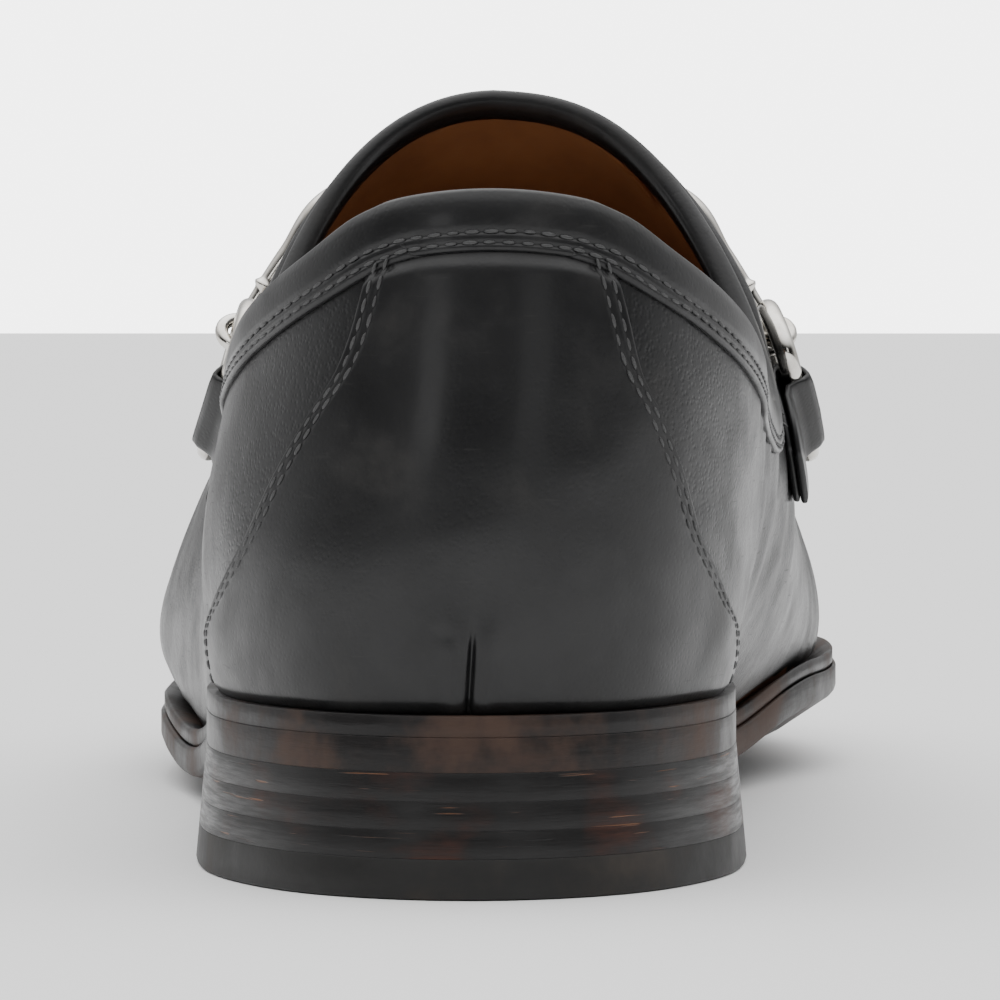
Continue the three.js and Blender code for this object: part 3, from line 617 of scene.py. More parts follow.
# Rings over the sole
def soleRing(count, beyond, height):
    angle = np.linspace(0, 2 * math.pi, count, endpoint=False)
    x, y = outline(angle, beyond(angle))
    return np.stack([x, y, soleRise(x, y) + height], -1)


def inset(by):
    return lambda angle: -by + 0 * angle


def fromEdge(reach, soft, back):
    return lambda angle: reach(angle) + soft(angle) * back


def centreRings(ring, height, shares=(0.04, 0.25, 0.5, 0.75)):
    count = len(ring)
    mirror = ring[(count - np.arange(count)) % count]
    made = []
    for share in shares:
        plan = mix((ring + mirror) / 2, ring, share)
        plan[:, 2] = soleRise(plan[:, 0], plan[:, 1]) + height
        made.append(plan)
    return made


def capFaces(count, first, up):
    i = np.arange(count // 2)
    quads = np.stack([i, i + 1, count - i - 1, (count - i) % count], -1) + first
    return quads if up else quads[:, ::-1]


# Round over the forefoot and nearly sharp over the heel
def softEdge(rounding):
    return lambda angle: rounding * mix(0.12, 1.0, smooth(0.2, 0.34, (1 - np.cos(angle)) / 2))


def solePlate(name, reach, low, high, rounding, count):
    soft = softEdge(rounding)
    turned = soft(np.linspace(0, 2 * math.pi, count, endpoint=False))
    edge = [(-1.0, 0.0), (-0.3, 0.3), (0.0, 1.0)]
    bottom = [soleRing(count, inset(by), low) for by in (8.0, 3.0)]
    bottom += [soleRing(count, fromEdge(reach, soft, back), low + up * turned) for back, up in edge]
    top = [soleRing(count, inset(by), high) for by in (8.0, 3.0)]
    top += [soleRing(count, fromEdge(reach, soft, back), high - up * turned) for back, up in edge]
    rings = centreRings(bottom[0], low) + bottom + top[::-1] + centreRings(top[0], high)[::-1]
    points = np.stack(rings)
    faces = [
        gridFaces(points.shape[0], count, True),
        capFaces(count, 0, False),
        capFaces(count, (points.shape[0] - 1) * count, True),
    ]
    return meshObject(name, toFrame(points.reshape(-1, 3)), np.concatenate(faces))


def makeOutsole():
    return solePlate("leather_outsole", edgeAt, 0.0, last["outsole"], 0.7, 480)


welt = {"inset": 0.5, "round": 0.45, "reach": 6.0, "columns": 640}


def makeWelt():
    low, high = last["outsole"] + 0.02, deck - 0.02
    count, soft, drawn = welt["columns"], softEdge(welt["round"]), softEdge(welt["inset"])
    turned = soft(np.linspace(0, 2 * math.pi, count, endpoint=False))
    edge = fromEdge(edgeAt, drawn, -1.0)
    rings = [
        soleRing(count, inset(welt["reach"]), low),
        soleRing(count, fromEdge(edge, soft, -1.0), low),
        soleRing(count, edge, low + turned),
        soleRing(count, edge, high - turned),
        soleRing(count, fromEdge(edge, soft, -1.0), high),
        soleRing(count, inset(0.4), high),
        soleRing(count, inset(welt["reach"]), high),
    ]
    points = np.stack(rings)
    faces = gridFaces(points.shape[0], count, True, wrapRows=True)
    return meshObject("sole_welt", toFrame(points.reshape(-1, 3)), faces)


def makeSock():
    return solePlate("sock", inset(last["wall"] + 0.05), deck, deck + last["insole"], 0.4, 240)


heel = {"flare": 1.4, "hollow": 4.0, "top": 4.9, "lift": 3.4, "round": 0.05, "topRound": 0.5}


def heelOutline(z, inward, count=220):
    flare = heel["flare"] * (1 - z / last["heelSeat"]) - inward
    breast = math.acos(1 - 2 * (last["heelLength"] - footBack) / footLength)
    angle = np.linspace(-breast, breast, count)
    x, y = outline(angle, edgeAt(angle) + flare)
    share = np.linspace(0, 1, 60)[1:-1]
    hollow = heel["hollow"] * 4 * share * (1 - share)
    breastX, breastY = mix(x[-1], x[0], share), mix(y[-1], y[0], share) - hollow - inward
    return np.stack([
        np.concatenate([x, breastX]),
        np.concatenate([y, breastY]),
        np.full(count + len(share), z),
    ], -1)


def makeHeelLayer(name, low, high, lowRound, highRound):
    rings = [
        heelOutline(low, lowRound),
        heelOutline(low + lowRound * 0.3, lowRound * 0.3),
        heelOutline(low + lowRound, 0.0),
        heelOutline((low + high) / 2, 0.0),
        heelOutline(high - highRound, 0.0),
        heelOutline(high - highRound * 0.3, highRound * 0.3),
        heelOutline(high, highRound),
    ]
    points = np.stack(rings)
    rows, count = points.shape[:2]
    faces = gridFaces(rows, count, True).tolist()
    faces.append(list(range(count))[::-1])
    faces.append(list(range((rows - 1) * count, rows * count)))
    return meshObject(name, toFrame(points.reshape(-1, 3)), faces, weld=1e-7)


# The saddle, a band over the instep, from one low end over the ridge to the other
saddle = {"leather": 1.8, "rows": 120, "low": 59.0}
saddleFront = [(0.435, 0.560), (0.462, 0.625), (0.488, 0.715), (0.497, 0.770), (0.512, 0.880), (0.520, 1.150)]


# Even points of a side path between a height and the ridge
def stretchToRidge(path, low, count):
    y, z = path[:, 0], path[:, 1]
    ridge = ridgeHeight(y)
    lowest = int(np.argmin(z))
    first = lowest + int(np.argmax(z[lowest:] > low))
    above = z[lowest:] > ridge[lowest:]
    final = lowest + int(np.argmax(above)) if above.any() else len(z) - 1
    at = np.linspace(first, final, count)
    knots = np.arange(len(z), dtype=float)
    return np.interp(at, knots, y), np.minimum(np.interp(at, knots, z), ridgeHeight(np.interp(at, knots, y)))


def makeSaddle():
    length, tall = last["length"], last["instep"]
    count = saddle["rows"] // 2 + 1
    backPath = offsetPath(topPath, -bandWidth(topPath[:, 0]) - 0.15)
    frontPath = sidePath([(a * length, h * tall) for a, h in saddleFront])
    backY, backZ = stretchToRidge(backPath, saddle["low"], count)
    frontY, frontZ = stretchToRidge(frontPath, saddle["low"], count)
    t = saddle["leather"] + last["gap"]
    profile = [(0, 0.05), (0, 0.6 * t), (0.03, 0.88 * t), (0.08, t), (0.13, 0.95 * t)]
    profile += [(q, t * (1 + 0.06 * math.sin(math.pi * q))) for q in np.linspace(0.2, 0.8, 9)]
    profile += [(0.87, 0.95 * t), (0.92, t), (0.97, 0.88 * t), (1, 0.6 * t), (1, 0.05)]
    profile += [(q, 0.02) for q in (0.8, 0.6, 0.4, 0.2)]
    columns = []
    thin = 0.45 + 0.55 * smooth(0, 0.35, np.linspace(0, 1, count))
    for q, beyond in profile:
        y, z = mix(backY, frontY, q), mix(backZ, frontZ, q)
        out = beyond * thin
        halves = []
        for side in (1, -1):
            angle, level = fromSide(side, y, z, out)
            level[-1] = 1.0
            halves.append(surface(angle, level, out))
        columns.append(np.concatenate([halves[0], halves[1][-2::-1]]))
    points = np.stack(columns)
    rows, across = points.shape[:2]
    faces = gridFaces(rows, across, False, wrapRows=True).tolist()
    faces.append([r * across for r in range(rows)])
    faces.append([r * across + across - 1 for r in range(rows)][::-1])
    return meshObject("saddle", toFrame(points.reshape(-1, 3)), faces)


# Straps folded round the rings
strap = {"foot": (0.412, 0.462), "head": (0.444, 0.560), "width": 15.0, "leather": 1.1, "clear": 0.15}
bit = {
    "wire": 1.5, "length": 15.0, "width": 23.0, "eye": 0.95, "bar": 2.0, "bead": 3.1, "aim": 0.92,
    "places": (0.45, 0.85),
}
foldRadius = bit["wire"] + last["gap"] + strap["leather"]
foldCentre = last["gap"] + foldRadius


def strapPoint(side, along, sideways, beyond):
    along, sideways, beyond = np.broadcast_arrays(*[np.asarray(v, float) for v in (along, sideways, beyond)])
    scale = np.array([last["length"], last["instep"]])
    foot, head = np.array(strap["foot"]) * scale, np.array(strap["head"]) * scale
    up = (head - foot) / np.linalg.norm(head - foot)
    flat = foot + along[..., None] * up + sideways[..., None] * np.array([up[1], -up[0]])
    angle, level = fromSide(side, flat[..., 0].copy(), flat[..., 1].copy(), beyond)
    return surface(angle, level, beyond)


strapLength = float(np.hypot(
    (strap["head"][0] - strap["foot"][0]) * last["length"],
    (strap["head"][1] - strap["foot"][1]) * last["instep"],
))


def makeStrap(name, side):
    thick, clear = strap["leather"], strap["clear"]
    radius = bit["wire"] + 0.15 + thick / 2
    neck = strapLength - 1.0 * foldRadius
    lower = [(a, clear + thick / 2) for a in np.linspace(0.6, neck, 14)]
    rise = [(mix(neck, strapLength, q), mix(clear + thick / 2, foldCentre - radius, smooth(0, 1, q))) for q in (0.35, 0.7)]
    turn = np.linspace(-math.pi / 2, math.pi / 2, 13)
    fold = [(strapLength + radius * math.cos(a), foldCentre + radius * math.sin(a)) for a in turn]
    upperHeight = clear + 1.52 * thick
    fall = [(mix(strapLength, neck, q), mix(foldCentre + radius, upperHeight + 0.5, smooth(0, 1, q))) for q in (0.3, 0.6, 0.9)]
    upperRun = [(a, upperHeight) for a in np.linspace(neck - 1.5, 0.0, 14)]
    line = np.array(lower + rise + fold + fall + upperRun)
    tangent = np.gradient(line, axis=0)
    tangent /= np.linalg.norm(tangent, axis=1)[:, None]
    normal = np.stack([-tangent[:, 1], tangent[:, 0]], -1)
    wide = strap["width"] / 2 * (0.5 + 0.5 * smooth(-3.5, 5.5, line[:, 0])) * (1 - 0.08 * smooth(neck, strapLength, line[:, 0]))
    sides = 24
    rings = []
    for k in range(sides):
        a = 2 * math.pi * k / sides
        across = math.copysign(abs(math.cos(a)) ** 0.3, math.cos(a))
        out = math.copysign(abs(math.sin(a)) ** 0.6, math.sin(a)) * thick / 2
        along = line[:, 0] + normal[:, 0] * out
        rings.append(strapPoint(side, along, wide * across, line[:, 1] + normal[:, 1] * out))
    points = np.stack(rings, 1)
    rows, count = points.shape[:2]
    faces = gridFaces(rows, count, True).tolist()
    faces.append(list(range(count))[::-1])
    faces.append(list(range((rows - 1) * count, rows * count)))
    made = meshObject(name, toFrame(points.reshape(-1, 3)), faces)
    outwardFaces(made)
    return made


def outwardFaces(piece):
    work = bmesh.new()
    work.from_mesh(piece.data)
    bmesh.ops.recalc_face_normals(work, faces=work.faces)
    work.to_mesh(piece.data)
    work.free()


def ringFrame(side):
    origin = strapPoint(side, strapLength, 0.0, foldCentre)
    half = strap["width"] / 2
    across = strapPoint(side, strapLength, half, foldCentre) - strapPoint(side, strapLength, -half, foldCentre)
    across /= np.linalg.norm(across)
    eyeReach = bit["wire"] + last["gap"] + bit["eye"]
    far = strapPoint(side, strapLength + bit["length"] * bit["aim"], 0.0, eyeReach + bit["eye"] + 2 * last["gap"])
    inward = far - origin
    inward -= across * (inward @ across)
    inward /= np.linalg.norm(inward)
    return origin, across, inward, np.cross(across, inward) * side


def tube(path, radius, sides, closed):
    count = len(path)
    tangent = np.roll(path, -1, 0) - np.roll(path, 1, 0) if closed else np.gradient(path, axis=0)
    tangent /= np.linalg.norm(tangent, axis=1)[:, None]
    normal = np.zeros_like(path)
    normal[0] = np.cross(tangent[0], (0.31, 0.52, 0.79))
    normal[0] /= np.linalg.norm(normal[0])
    for i in range(1, count):
        normal[i] = normal[i - 1] - tangent[i] * (normal[i - 1] @ tangent[i])
        normal[i] /= np.linalg.norm(normal[i])
    if closed:
        carried = normal[-1] - tangent[0] * (normal[-1] @ tangent[0])
        miss = math.atan2(np.cross(carried, normal[0]) @ tangent[0], carried @ normal[0])
        turn = miss * np.arange(count) / count
        side = np.cross(tangent, normal)
        normal = normal * np.cos(turn)[:, None] + side * np.sin(turn)[:, None]
    side = np.cross(tangent, normal)
    angle = np.linspace(0, 2 * math.pi, sides, endpoint=False)
    ring = normal[:, None] * np.cos(angle)[:, None] + side[:, None] * np.sin(angle)[:, None]
    points = path[:, None] + ring * np.broadcast_to(radius, count)[:, None, None]
    return points.reshape(-1, 3), gridFaces(count, sides, True, wrapRows=closed)


def throughPoints(points, count, closed):
    points = np.array(points)
    loop = np.concatenate([points, points[:1]]) if closed else points
    knots = np.concatenate([[0], np.cumsum(np.linalg.norm(np.diff(loop, axis=0), axis=1) ** 0.5)])
    at = np.linspace(0, knots[-1], count, endpoint=not closed)
    period = knots[-1] if closed else None
    return np.stack([curveOf(knots[:len(points)], points[:, i], period)(at) for i in range(3)], -1)


ringRows = [(0.50, 0.00), (0.70, 0.00), (0.93, 0.10), (1.00, 0.33), (0.86, 0.68), (0.50, 0.93)]


def makeRing(name, side):
    origin, across, inward, _ = ringFrame(side)
    half, length = bit["width"] / 2, bit["length"]
    outline = [(0, 0), *ringRows, (0, 1), *[(-a, b) for a, b in ringRows[::-1]]]
    points = [origin + across * a * half + inward * b * length for a, b in outline]
    points, faces = tube(throughPoints(points, 96, True), bit["wire"], 20, True)
    return meshObject(name, toFrame(points), faces)


def eyePath(side):
    origin, across, inward, lift = ringFrame(side)
    centre = origin + inward * bit["length"]
    turn = np.linspace(0, 2 * math.pi, 36, endpoint=False)[:, None]
    reach = bit["wire"] + last["gap"] + bit["eye"]
    return centre + reach * (inward * np.cos(turn) + lift * np.sin(turn))


def barRadius(share):
    out = np.abs(2 * share - 1)
    body = mix(bit["bar"], bit["eye"] * 1.15, out ** 2)
    bead = bit["bead"] * np.sqrt(np.clip(1 - (out / 0.16) ** 2, 0, 1))
    collars = 0.75 * bell(out - 0.19, 0.014) + 0.55 * bell(out - 0.86, 0.012)
    groove = -0.25 * bell(out, 0.012)
    return np.maximum(body, bead) + collars + groove


def makeBar():
    reach = bit["length"] + bit["wire"] + last["gap"] + 1.5 * bit["eye"]
    ends = []
    for side in (1, -1):
        origin, _, inward, _ = ringFrame(side)
        ends.append(origin + inward * reach)
    y = (ends[0][1] + ends[1][1]) / 2
    clear = last["gap"] + saddle["leather"] + bit["bead"] + 2 * last["gap"]
    crown = np.array([ridgeX(y), y, ridgeHeight(y) + clear])
    sides = []
    beside = last["gap"] + saddle["leather"] + bit["bar"] + last["gap"]
    shares = np.array(bit["places"])
    for side, end in zip((1, -1), ends):
        z = mix(end[2], crown[2] - clear, shares)
        beyond = mix(beside, clear, shares ** 2)
        angle, level = fromSide(side, np.full(2, y), z, beyond)
        sides.append(surface(angle, level, beyond))
    points = [ends[0], *sides[0], crown, *sides[1][::-1], ends[1]]
    path = throughPoints(points, 240, False)
    radius = barRadius(np.linspace(0, 1, 240))
    radius[[0, -1]] = 0
    parts = [tube(path, radius, 20, False), *[tube(eyePath(side), bit["eye"], 16, True) for side in (1, -1)]]
    points = np.concatenate([part[0] for part in parts])
    starts = np.cumsum([0] + [len(part[0]) for part in parts])
    faces = np.concatenate([part[1] + start for part, start in zip(parts, starts)])
    return meshObject("snaffle_bar", toFrame(points), faces)


# Stitches set along lines by geometry nodes
stitch = {"pitch": 2.3, "length": 1.75, "width": 0.5, "height": 0.42, "uneven": 0.14, "seed": 7}


def stitchTree():
    tree = bpy.data.node_groups.new("stitches", "GeometryNodeTree")
    interface = tree.interface
    interface.new_socket("Lines", in_out="INPUT", socket_type="NodeSocketGeometry")
    for name in ("Pitch", "Length", "Width", "Height", "Uneven"):
        interface.new_socket(name, in_out="INPUT", socket_type="NodeSocketFloat")
    interface.new_socket("Seed", in_out="INPUT", socket_type="NodeSocketInt")
    interface.new_socket("Thread", in_out="INPUT", socket_type="NodeSocketMaterial")
    interface.new_socket("Stitches", in_out="OUTPUT", socket_type="NodeSocketGeometry")
    new, link = tree.nodes.new, tree.links.new
    given, result = new("NodeGroupInput"), new("NodeGroupOutput")
    curve, spaced = new("GeometryNodeMeshToCurve"), new("GeometryNodeResampleCurve")
    spaced.mode = "LENGTH"
    link(given.outputs["Lines"], curve.inputs["Mesh"])
    link(curve.outputs["Curve"], spaced.inputs["Curve"])
    link(given.outputs["Pitch"], spaced.inputs["Length"])
    bead = new("GeometryNodeMeshUVSphere")
    bead.inputs["Segments"].default_value = 8
    bead.inputs["Rings"].default_value = 6
    bead.inputs["Radius"].default_value = 0.5
    size = new("ShaderNodeCombineXYZ")
    for axis, name in zip("XYZ", ("Length", "Width", "Height")):
        link(given.outputs[name], size.inputs[axis])
    chance = new("FunctionNodeRandomValue")
    chance.data_type = "FLOAT"
    low, high = new("ShaderNodeMath"), new("ShaderNodeMath")
    for node, operation in ((low, "SUBTRACT"), (high, "ADD")):
        node.operation = operation
        node.inputs[0].default_value = 1.0
        link(given.outputs["Uneven"], node.inputs[1])
    link(low.outputs[0], chance.inputs[2])
    link(high.outputs[0], chance.inputs[3])
    link(given.outputs["Seed"], chance.inputs["Seed"])
    scale = new("ShaderNodeVectorMath")
    scale.operation = "SCALE"
    link(size.outputs[0], scale.inputs[0])
    link(chance.outputs[1], scale.inputs["Scale"])
    tangent, lift = new("GeometryNodeInputTangent"), new("GeometryNodeInputNamedAttribute")
    lift.data_type = "FLOAT_VECTOR"
    lift.inputs["Name"].default_value = "lift"
    along, upright = new("FunctionNodeAlignRotationToVector"), new("FunctionNodeAlignRotationToVector")
    along.axis = "X"
    upright.axis, upright.pivot_axis = "Z", "X"
    link(tangent.outputs[0], along.inputs["Vector"])
    link(along.outputs[0], upright.inputs["Rotation"])
    link(lift.outputs[0], upright.inputs["Vector"])
    placed = new("GeometryNodeInstanceOnPoints")
    link(spaced.outputs["Curve"], placed.inputs["Points"])
    link(bead.outputs["Mesh"], placed.inputs["Instance"])
    link(upright.outputs[0], placed.inputs["Rotation"])
    link(scale.outputs[0], placed.inputs["Scale"])
    real, dyed = new("GeometryNodeRealizeInstances"), new("GeometryNodeSetMaterial")
    link(placed.outputs["Instances"], real.inputs["Geometry"])
    link(real.outputs["Geometry"], dyed.inputs["Geometry"])
    link(given.outputs["Thread"], dyed.inputs["Material"])
    link(dyed.outputs["Geometry"], result.inputs["Stitches"])
    return tree


stitchNodes = stitchTree()


# lines holds pairs of points and outward directions, both in shoe millimetres
def makeStitches(name, lines, thread, **changes):
    settings = {**stitch, **changes}
    points, lifts, edges = [], [], []
    for line, lift in lines:
        first = len(points)
        points += toFrame(line).tolist()
        lifts += lift.tolist()
        edges += [(first + i, first + i + 1) for i in range(len(line) - 1)]
    mesh = bpy.data.meshes.new(name + "_lines")
    mesh.from_pydata(points, edges, [])
    mesh.attributes.new("lift", "FLOAT_VECTOR", "POINT").data.foreach_set("vector", np.array(lifts).ravel())
    carrier = bpy.data.objects.new(name + "_lines", mesh)
    bpy.context.scene.collection.objects.link(carrier)
    modifier = carrier.modifiers.new("stitches", "NODES")
    modifier.node_group = stitchNodes
    values = {key.capitalize(): settings[key] / 1000 for key in ("pitch", "length", "width", "height")}
    values.update({"Uneven": settings["uneven"], "Seed": settings["seed"], "Thread": thread})
    sockets = stitchNodes.interface.items_tree
    for key, value in values.items():
        modifier[sockets[key].identifier] = value
    bpy.context.view_layer.update()
    evaluated = carrier.evaluated_get(bpy.context.evaluated_depsgraph_get())
    made = bpy.data.objects.new(name, bpy.data.meshes.new_from_object(evaluated))
    made.data.polygons.foreach_set("use_smooth", [True] * len(made.data.polygons))
    bpy.context.scene.collection.objects.link(made)
    bpy.data.objects.remove(carrier)
    return made


def collarStitchLines():
    lines = []
    for share in band["stitchRows"]:
        low = collarLoop(share - 0.03, 0, band["leather"], 260)
        high = collarLoop(share + 0.03, 0, band["leather"], 260)
        pair = np.stack([low, high])
        middle = (low + high) / 2
        lift = normalsOf(pair, True)[0]
        wander = 0.16 * ripples(middle, 14, int(-share * 100))
        up = (high - low) / np.linalg.norm(high - low, axis=1)[:, None]
        middle = middle + up * wander[:, None] - lift * 0.08
        quarters = middle[:, 1] < 0.372 * last["length"]
        keep = np.roll(quarters, 130)
        lines.append((np.roll(middle, 130, 0)[keep], np.roll(lift, 130, 0)[keep]))
    return lines


def counterStitchLines():
    base = counterGrid(0.0)
    normal = normalsOf(base, False)
    lines = []
    front, top, _ = edgeDistances(base)
    middle = base.shape[1] // 2
    for seam in counter["seams"]:
        for columns in (slice(0, middle), slice(None, middle, -1)):
            points, lifts = [], []
            for row in range(4, len(base)):
                distance = front[row, columns]
                if top[row, columns][0] < 0.2:
                    continue
                spot = [np.interp(seam, distance, base[row, columns, i]) for i in range(3)]
                lift = [np.interp(seam, distance, normal[row, columns, i]) for i in range(3)]
                points.append(np.array(spot) + np.array(lift) * (counter["leather"] - 0.1))
                lifts.append(lift)
            lines.append((np.array(points), np.array(lifts)))
    return lines


class Wire:
    def __init__(self, paint, socket):
        self.paint, self.socket = paint, socket

    def math(self, operation, *others):
        sockets = {i: value for i, value in enumerate((self, *others))}
        return self.paint.node("ShaderNodeMath", {"operation": operation}, sockets)

    def __add__(self, other):
        return self.math("ADD", other)

    def __sub__(self, other):
        return self.math("SUBTRACT", other)

    def __mul__(self, other):
        return self.math("MULTIPLY", other)

    def __rsub__(self, other):
        return self.paint.node("ShaderNodeMath", {"operation": "SUBTRACT"}, {0: other, 1: self})

    __radd__, __rmul__ = __add__, __mul__

    def ramp(self, low, high, start=0.0, end=1.0):
        sockets = {"Value": self, "From Min": low, "From Max": high, "To Min": start, "To Max": end}
        return self.paint.node("ShaderNodeMapRange", {"interpolation_type": "SMOOTHSTEP"}, sockets)


class Paint:
    def __init__(self, name, **constants):
        self.material = bpy.data.materials.new(name)
        self.material.use_nodes = True
        self.tree = self.material.node_tree
        self.shader = self.tree.nodes["Principled BSDF"]
        for socket, value in constants.items():
            self.shader.inputs[socket.replace("_", " ")].default_value = value
        self.place = self.node("ShaderNodeTexCoord", out="Object")

    def join(self, value, socket):
        if isinstance(value, Wire):
            self.tree.links.new(value.socket, socket)
        else:
            socket.default_value = value

    def node(self, kind, settings=None, sockets=None, out=0):
        made = self.tree.nodes.new(kind)
        for name, value in (settings or {}).items():
            setattr(made, name, value)
        for name, value in (sockets or {}).items():
            self.join(value, made.inputs[name])
        return Wire(self, made.outputs[out])

    def stretched(self, scale, place=None):
        return self.node("ShaderNodeMapping", None, {"Vector": place or self.place, "Scale": scale})

    def noise(self, scale, detail=3.0, roughness=0.5, place=None):
        sockets = {"Vector": place or self.place, "Scale": scale, "Detail": detail, "Roughness": roughness}
        return self.node("ShaderNodeTexNoise", None, sockets)

    def cells(self, scale, place=None):
        return self.node("ShaderNodeTexVoronoi", None, {"Vector": place or self.place, "Scale": scale})

    def axis(self, name):
        return self.node("ShaderNodeSeparateXYZ", None, {0: self.place}, out=name)

    def blend(self, factor, first, second):
        sockets = {0: factor, 6: first, 7: second}
        return self.node("ShaderNodeMix", {"data_type": "RGBA"}, sockets, out=2)

    def bump(self, height, distance, normal=None):
        sockets = {"Height": height, "Distance": distance, "Strength": 1.0}
        if normal:
            sockets["Normal"] = normal
        return self.node("ShaderNodeBump", None, sockets)

    def set(self, name, value):
        self.join(value, self.shader.inputs[name])


def rgba(r, g, b):
    return (r, g, b, 1.0)


# Smooth black calf, with a fine grain that shows where the light grazes it
def blackCalf(name, grainDepth, shine):
    paint = Paint(name, Coat_Roughness=0.18, Specular_IOR_Level=0.3)
    pores = paint.cells(1500).ramp(0.0, 0.6)
    grain = paint.noise(620, 4.0, 0.6)
    waves = paint.noise(38, 2.0)
    wear = paint.noise(70, 5.0, 0.62)
    scratches = paint.noise(160, 3.0, 0.5, paint.stretched((1.0, 1.0, 14.0))).ramp(0.66, 0.74)
    dusty = wear.ramp(0.5, 0.8) * 0.8 + scratches * 0.25
    paint.set("Base Color", paint.blend(dusty, rgba(0.0065, 0.0065, 0.007), rgba(0.024, 0.023, 0.022)))
    paint.set("Roughness", wear.ramp(0.3, 0.7, 0.33, 0.48) + scratches * 0.1)
    paint.set("Coat Weight", wear.ramp(0.35, 0.75, shine, shine * 0.4))
    rough = paint.bump(waves, 0.00035)
    paint.set("Normal", paint.bump(grain * 0.6 + pores * 0.4, grainDepth, rough))
    return paint.material


def tanLining():
    paint = Paint("tan_lining", Roughness=0.62)
    patch = paint.noise(38, 4.0, 0.6)
    paint.set("Base Color", paint.blend(patch.ramp(0.3, 0.75), rgba(0.16, 0.058, 0.019), rgba(0.26, 0.105, 0.036)))
    paint.set("Normal", paint.bump(paint.noise(700, 3.0, 0.6), 0.00004))
    return paint.material


# Burnished heel: rubbed red-brown patches and fine level scratches
def heelStack():
    paint = Paint("heel_stack", Specular_IOR_Level=0.25, Coat_Roughness=0.25)
    rub = paint.noise(48, 4.0, 0.6, paint.stretched((1.0, 1.0, 1.6)))
    fibre = paint.noise(90, 5.0, 0.65, paint.stretched((1.0, 1.0, 16.0)))
    scratch = paint.noise(75, 2.0, 0.5, paint.stretched((1.0, 1.0, 30.0))).ramp(0.67, 0.73)
    mask = rub.ramp(0.50, 0.72) * fibre.ramp(0.3, 0.7, 0.35, 1.0)
    stain = paint.blend(mask, rgba(0.009, 0.0085, 0.0085), rgba(0.052, 0.017, 0.010))
    paint.set("Base Color", paint.blend(scratch * rub.ramp(0.42, 0.6), stain, rgba(0.16, 0.07, 0.035)))
    paint.set("Roughness", fibre.ramp(0.3, 0.7, 0.30, 0.52))
    paint.set("Coat Weight", rub.ramp(0.35, 0.7, 0.2, 0.05))
    rough = paint.bump(paint.noise(60, 2.0), 0.0003)
    paint.set("Normal", paint.bump(fibre - scratch * 0.6, 0.00009, rough))
    return paint.material


def soleInk():
    paint = Paint("sole_ink", Specular_IOR_Level=0.25)
    rub = paint.noise(45, 5.0, 0.62)
    fibre = paint.noise(120, 4.0, 0.6, paint.stretched((1.0, 1.0, 8.0)))
    worn = rub.ramp(0.48, 0.68) * 0.9
    paint.set("Base Color", paint.blend(worn, rgba(0.010, 0.009, 0.009), rgba(0.062, 0.036, 0.026)))
    paint.set("Roughness", rub.ramp(0.4, 0.7, 0.34, 0.6))
    paint.set("Normal", paint.bump(fibre, 0.0001, paint.bump(rub, 0.0003)))
    return paint.material


def topRubber():
    paint = Paint("top_rubber", Specular_IOR_Level=0.4)
    dust = paint.noise(55, 5.0, 0.6)
    paint.set("Base Color", paint.blend(dust.ramp(0.5, 0.8), rgba(0.010, 0.0095, 0.009), rgba(0.036, 0.028, 0.022)))
    paint.set("Roughness", dust.ramp(0.3, 0.7, 0.42, 0.62))
    paint.set("Normal", paint.bump(paint.noise(300, 4.0, 0.6), 0.00007))
    return paint.material


def bitMetal():
    paint = Paint("bit_metal", Metallic=1.0)
    wear = paint.noise(260, 4.0, 0.6)
    paint.set("Base Color", paint.blend(wear.ramp(0.3, 0.7), rgba(0.74, 0.72, 0.68), rgba(0.56, 0.53, 0.48)))
    paint.set("Roughness", wear.ramp(0.35, 0.7, 0.09, 0.26))
    paint.set("Normal", paint.bump(paint.noise(120, 2.0), 0.00003))
    return paint.material


def blackThread():
    paint = Paint("black_thread", Roughness=0.5)
    fibre = paint.noise(2400, 2.0)
    paint.set("Base Color", paint.blend(fibre, rgba(0.02, 0.02, 0.021), rgba(0.06, 0.06, 0.06)))
    paint.set("Normal", paint.bump(fibre, 0.00003))
    return paint.material


def dress(piece, material, slotName, *nodes):
    piece.data.materials.clear()
    piece.data.materials.append(material)
    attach(piece, "root")
    if nodes:
        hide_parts(*nodes)


quarterCalf = blackCalf("black_calf", 0.0001, 0.2)
counterCalf = blackCalf("polished_calf", 0.00003, 0.25)
bandCalf = blackCalf("binding_calf", 0.00004, 0.25)
liningFinish, stackFinish, inkFinish = tanLining(), heelStack(), soleInk()
rubberFinish, metalFinish, threadFinish = topRubber(), bitMetal(), blackThread()

dress(makeUpper(), quarterCalf, "upper_leather", "upper")
dress(makeLining(), liningFinish, "sock_leather")
print("upper made")
dress(makeBand(), bandCalf, "upper_leather", "collar_binding")
dress(makeCounter(), counterCalf, "upper_leather", "counter")
dress(makeSaddle(), bandCalf, "upper_leather", "saddle_strap")
print("binding, counter and saddle made")
dress(makeOutsole(), inkFinish, "sole_leather", "outsole")
dress(makeWelt(), inkFinish, "welt_leather", "welt")
dress(makeSock(), liningFinish, "sock_leather", "insole")
lowest, lift = heel["top"], heel["lift"]
dress(makeHeelLayer("top_piece", 0.0, lowest, heel["topRound"], 2 * heel["round"]), rubberFinish, "heel_rubber", "top_lift")
for i in range(3):
    low = lowest + i * lift
    layer = makeHeelLayer(f"heel_layer_{3 - i}", low, low + lift, heel["round"], heel["round"])
    dress(layer, stackFinish, "sole_leather", f"heel_lift_{3 - i}")
print("sole and heel made")
for name, side in (("medial", 1), ("lateral", -1)):
    dress(makeStrap(f"strap_fold_{name}", side), bandCalf, "upper_leather", f"strap_{name}")
    dress(makeRing(f"snaffle_ring_{name}", side), metalFinish, "bit_metal", f"bit_ring_{name}")
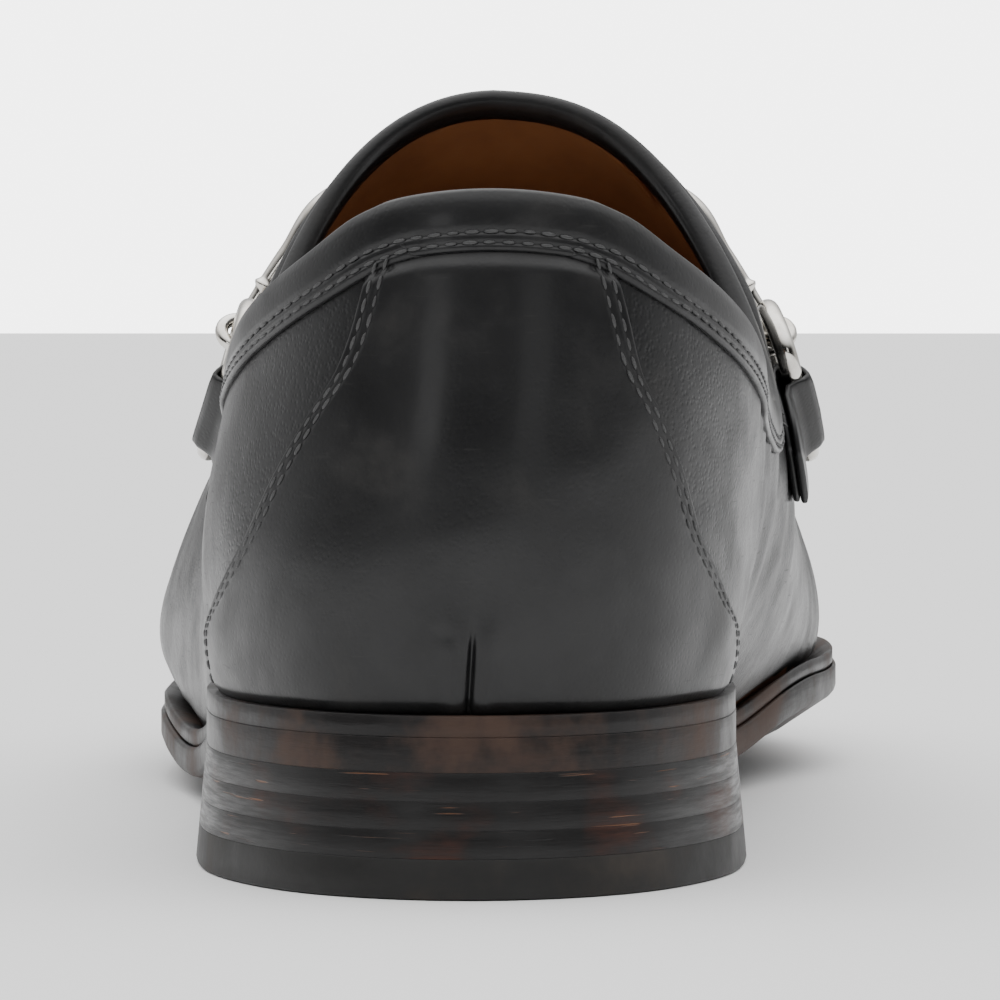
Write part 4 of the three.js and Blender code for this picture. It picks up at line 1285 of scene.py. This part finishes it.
dress(makeBar(), metalFinish, "bit_metal", "bit_bar")
print("bit made")
dress(makeStitches("collar_stitches", collarStitchLines(), threadFinish), threadFinish, "upper_leather")
dress(makeStitches("counter_stitches", counterStitchLines(), threadFinish), threadFinish, "upper_leather")
print("stitches made")

studio = {"floor": 12.0, "white": 5.0, "front": 0.02, "side": 0.7, "ceiling": 2.3}


def makeFloor():
    half = studio["floor"] / 2
    mesh = bpy.data.meshes.new("floor")
    mesh.from_pydata([(-half, -half, 0), (half, -half, 0), (half, half, 0), (-half, half, 0)], [], [(0, 1, 2, 3)])
    floor = bpy.data.objects.new("floor", mesh)
    bpy.context.scene.collection.objects.link(floor)
    paint = Paint("pale_floor", Roughness=0.9, Base_Color=rgba(0.93, 0.93, 0.93))
    mesh.materials.append(paint.material)


def makeLight(name, place, aim, size, power):
    data = bpy.data.lights.new(name, "AREA")
    data.size = size
    data.energy = power
    light = bpy.data.objects.new(name, data)
    bpy.context.scene.collection.objects.link(light)
    light.location = place
    light.rotation_mode = "QUATERNION"
    light.rotation_quaternion = (Vector(aim) - Vector(place)).to_track_quat("-Z", "Y")


# A white room with a bright ceiling, dark on the side where the photographer stands
def makeWorld():
    world = bpy.data.worlds.new("studio")
    bpy.context.scene.world = world
    world.use_nodes = True
    tree = world.node_tree
    background = tree.nodes["Background"]
    new, link = tree.nodes.new, tree.links.new
    place, parts = new("ShaderNodeTexCoord"), new("ShaderNodeSeparateXYZ")
    link(place.outputs["Generated"], parts.inputs[0])
    ramps = []
    for axis, *values in (("Y", -0.45, 0.35, studio["front"], studio["side"]), ("Z", 0.3, 0.95, 0.0, studio["ceiling"])):
        ramp = new("ShaderNodeMapRange")
        ramp.interpolation_type = "SMOOTHSTEP"
        link(parts.outputs[axis], ramp.inputs["Value"])
        for name, value in zip(("From Min", "From Max", "To Min", "To Max"), values):
            ramp.inputs[name].default_value = value
        ramps.append(ramp)
    total, path, pick = new("ShaderNodeMath"), new("ShaderNodeLightPath"), new("ShaderNodeMix")
    for ramp, socket in zip(ramps, total.inputs):
        link(ramp.outputs[0], socket)
    link(path.outputs["Is Camera Ray"], pick.inputs[0])
    link(total.outputs[0], pick.inputs[2])
    pick.inputs[3].default_value = studio["white"]
    background.inputs["Color"].default_value = rgba(1, 1, 1)
    link(pick.outputs[0], background.inputs["Strength"])


view = {"eye": (8.2, -701.8, 75.0), "toeOut": 3.5, "pixels": (314, 608), "focal": 2758, "zoom": 2.15}


def makeCamera():
    data = bpy.data.cameras.new("camera")
    data.sensor_width = 36
    data.lens = 36 * view["focal"] * view["zoom"] / 1000
    camera = bpy.data.objects.new("camera", data)
    bpy.context.scene.collection.objects.link(camera)
    turn = math.radians(view["toeOut"])
    forward = Vector((math.sin(turn), math.cos(turn), 0))
    right = Vector((math.cos(turn), -math.sin(turn), 0))
    aim = forward + right * ((view["pixels"][0] - 500) / view["focal"])
    aim += Vector((0, 0, 1)) * ((500 - view["pixels"][1]) / view["focal"])
    camera.location = toFrame(view["eye"])
    camera.rotation_mode = "QUATERNION"
    camera.rotation_quaternion = aim.to_track_quat("-Z", "Y")
    bpy.context.scene.camera = camera


makeFloor()
makeLight("left", (-0.75, -1.25, 0.35), (0, -0.14, 0.05), 0.3, 0.7)
makeLight("right", (0.62, -1.35, 0.35), (0, -0.14, 0.05), 0.4, 0.5)
makeWorld()
makeCamera()
print("studio and camera made")
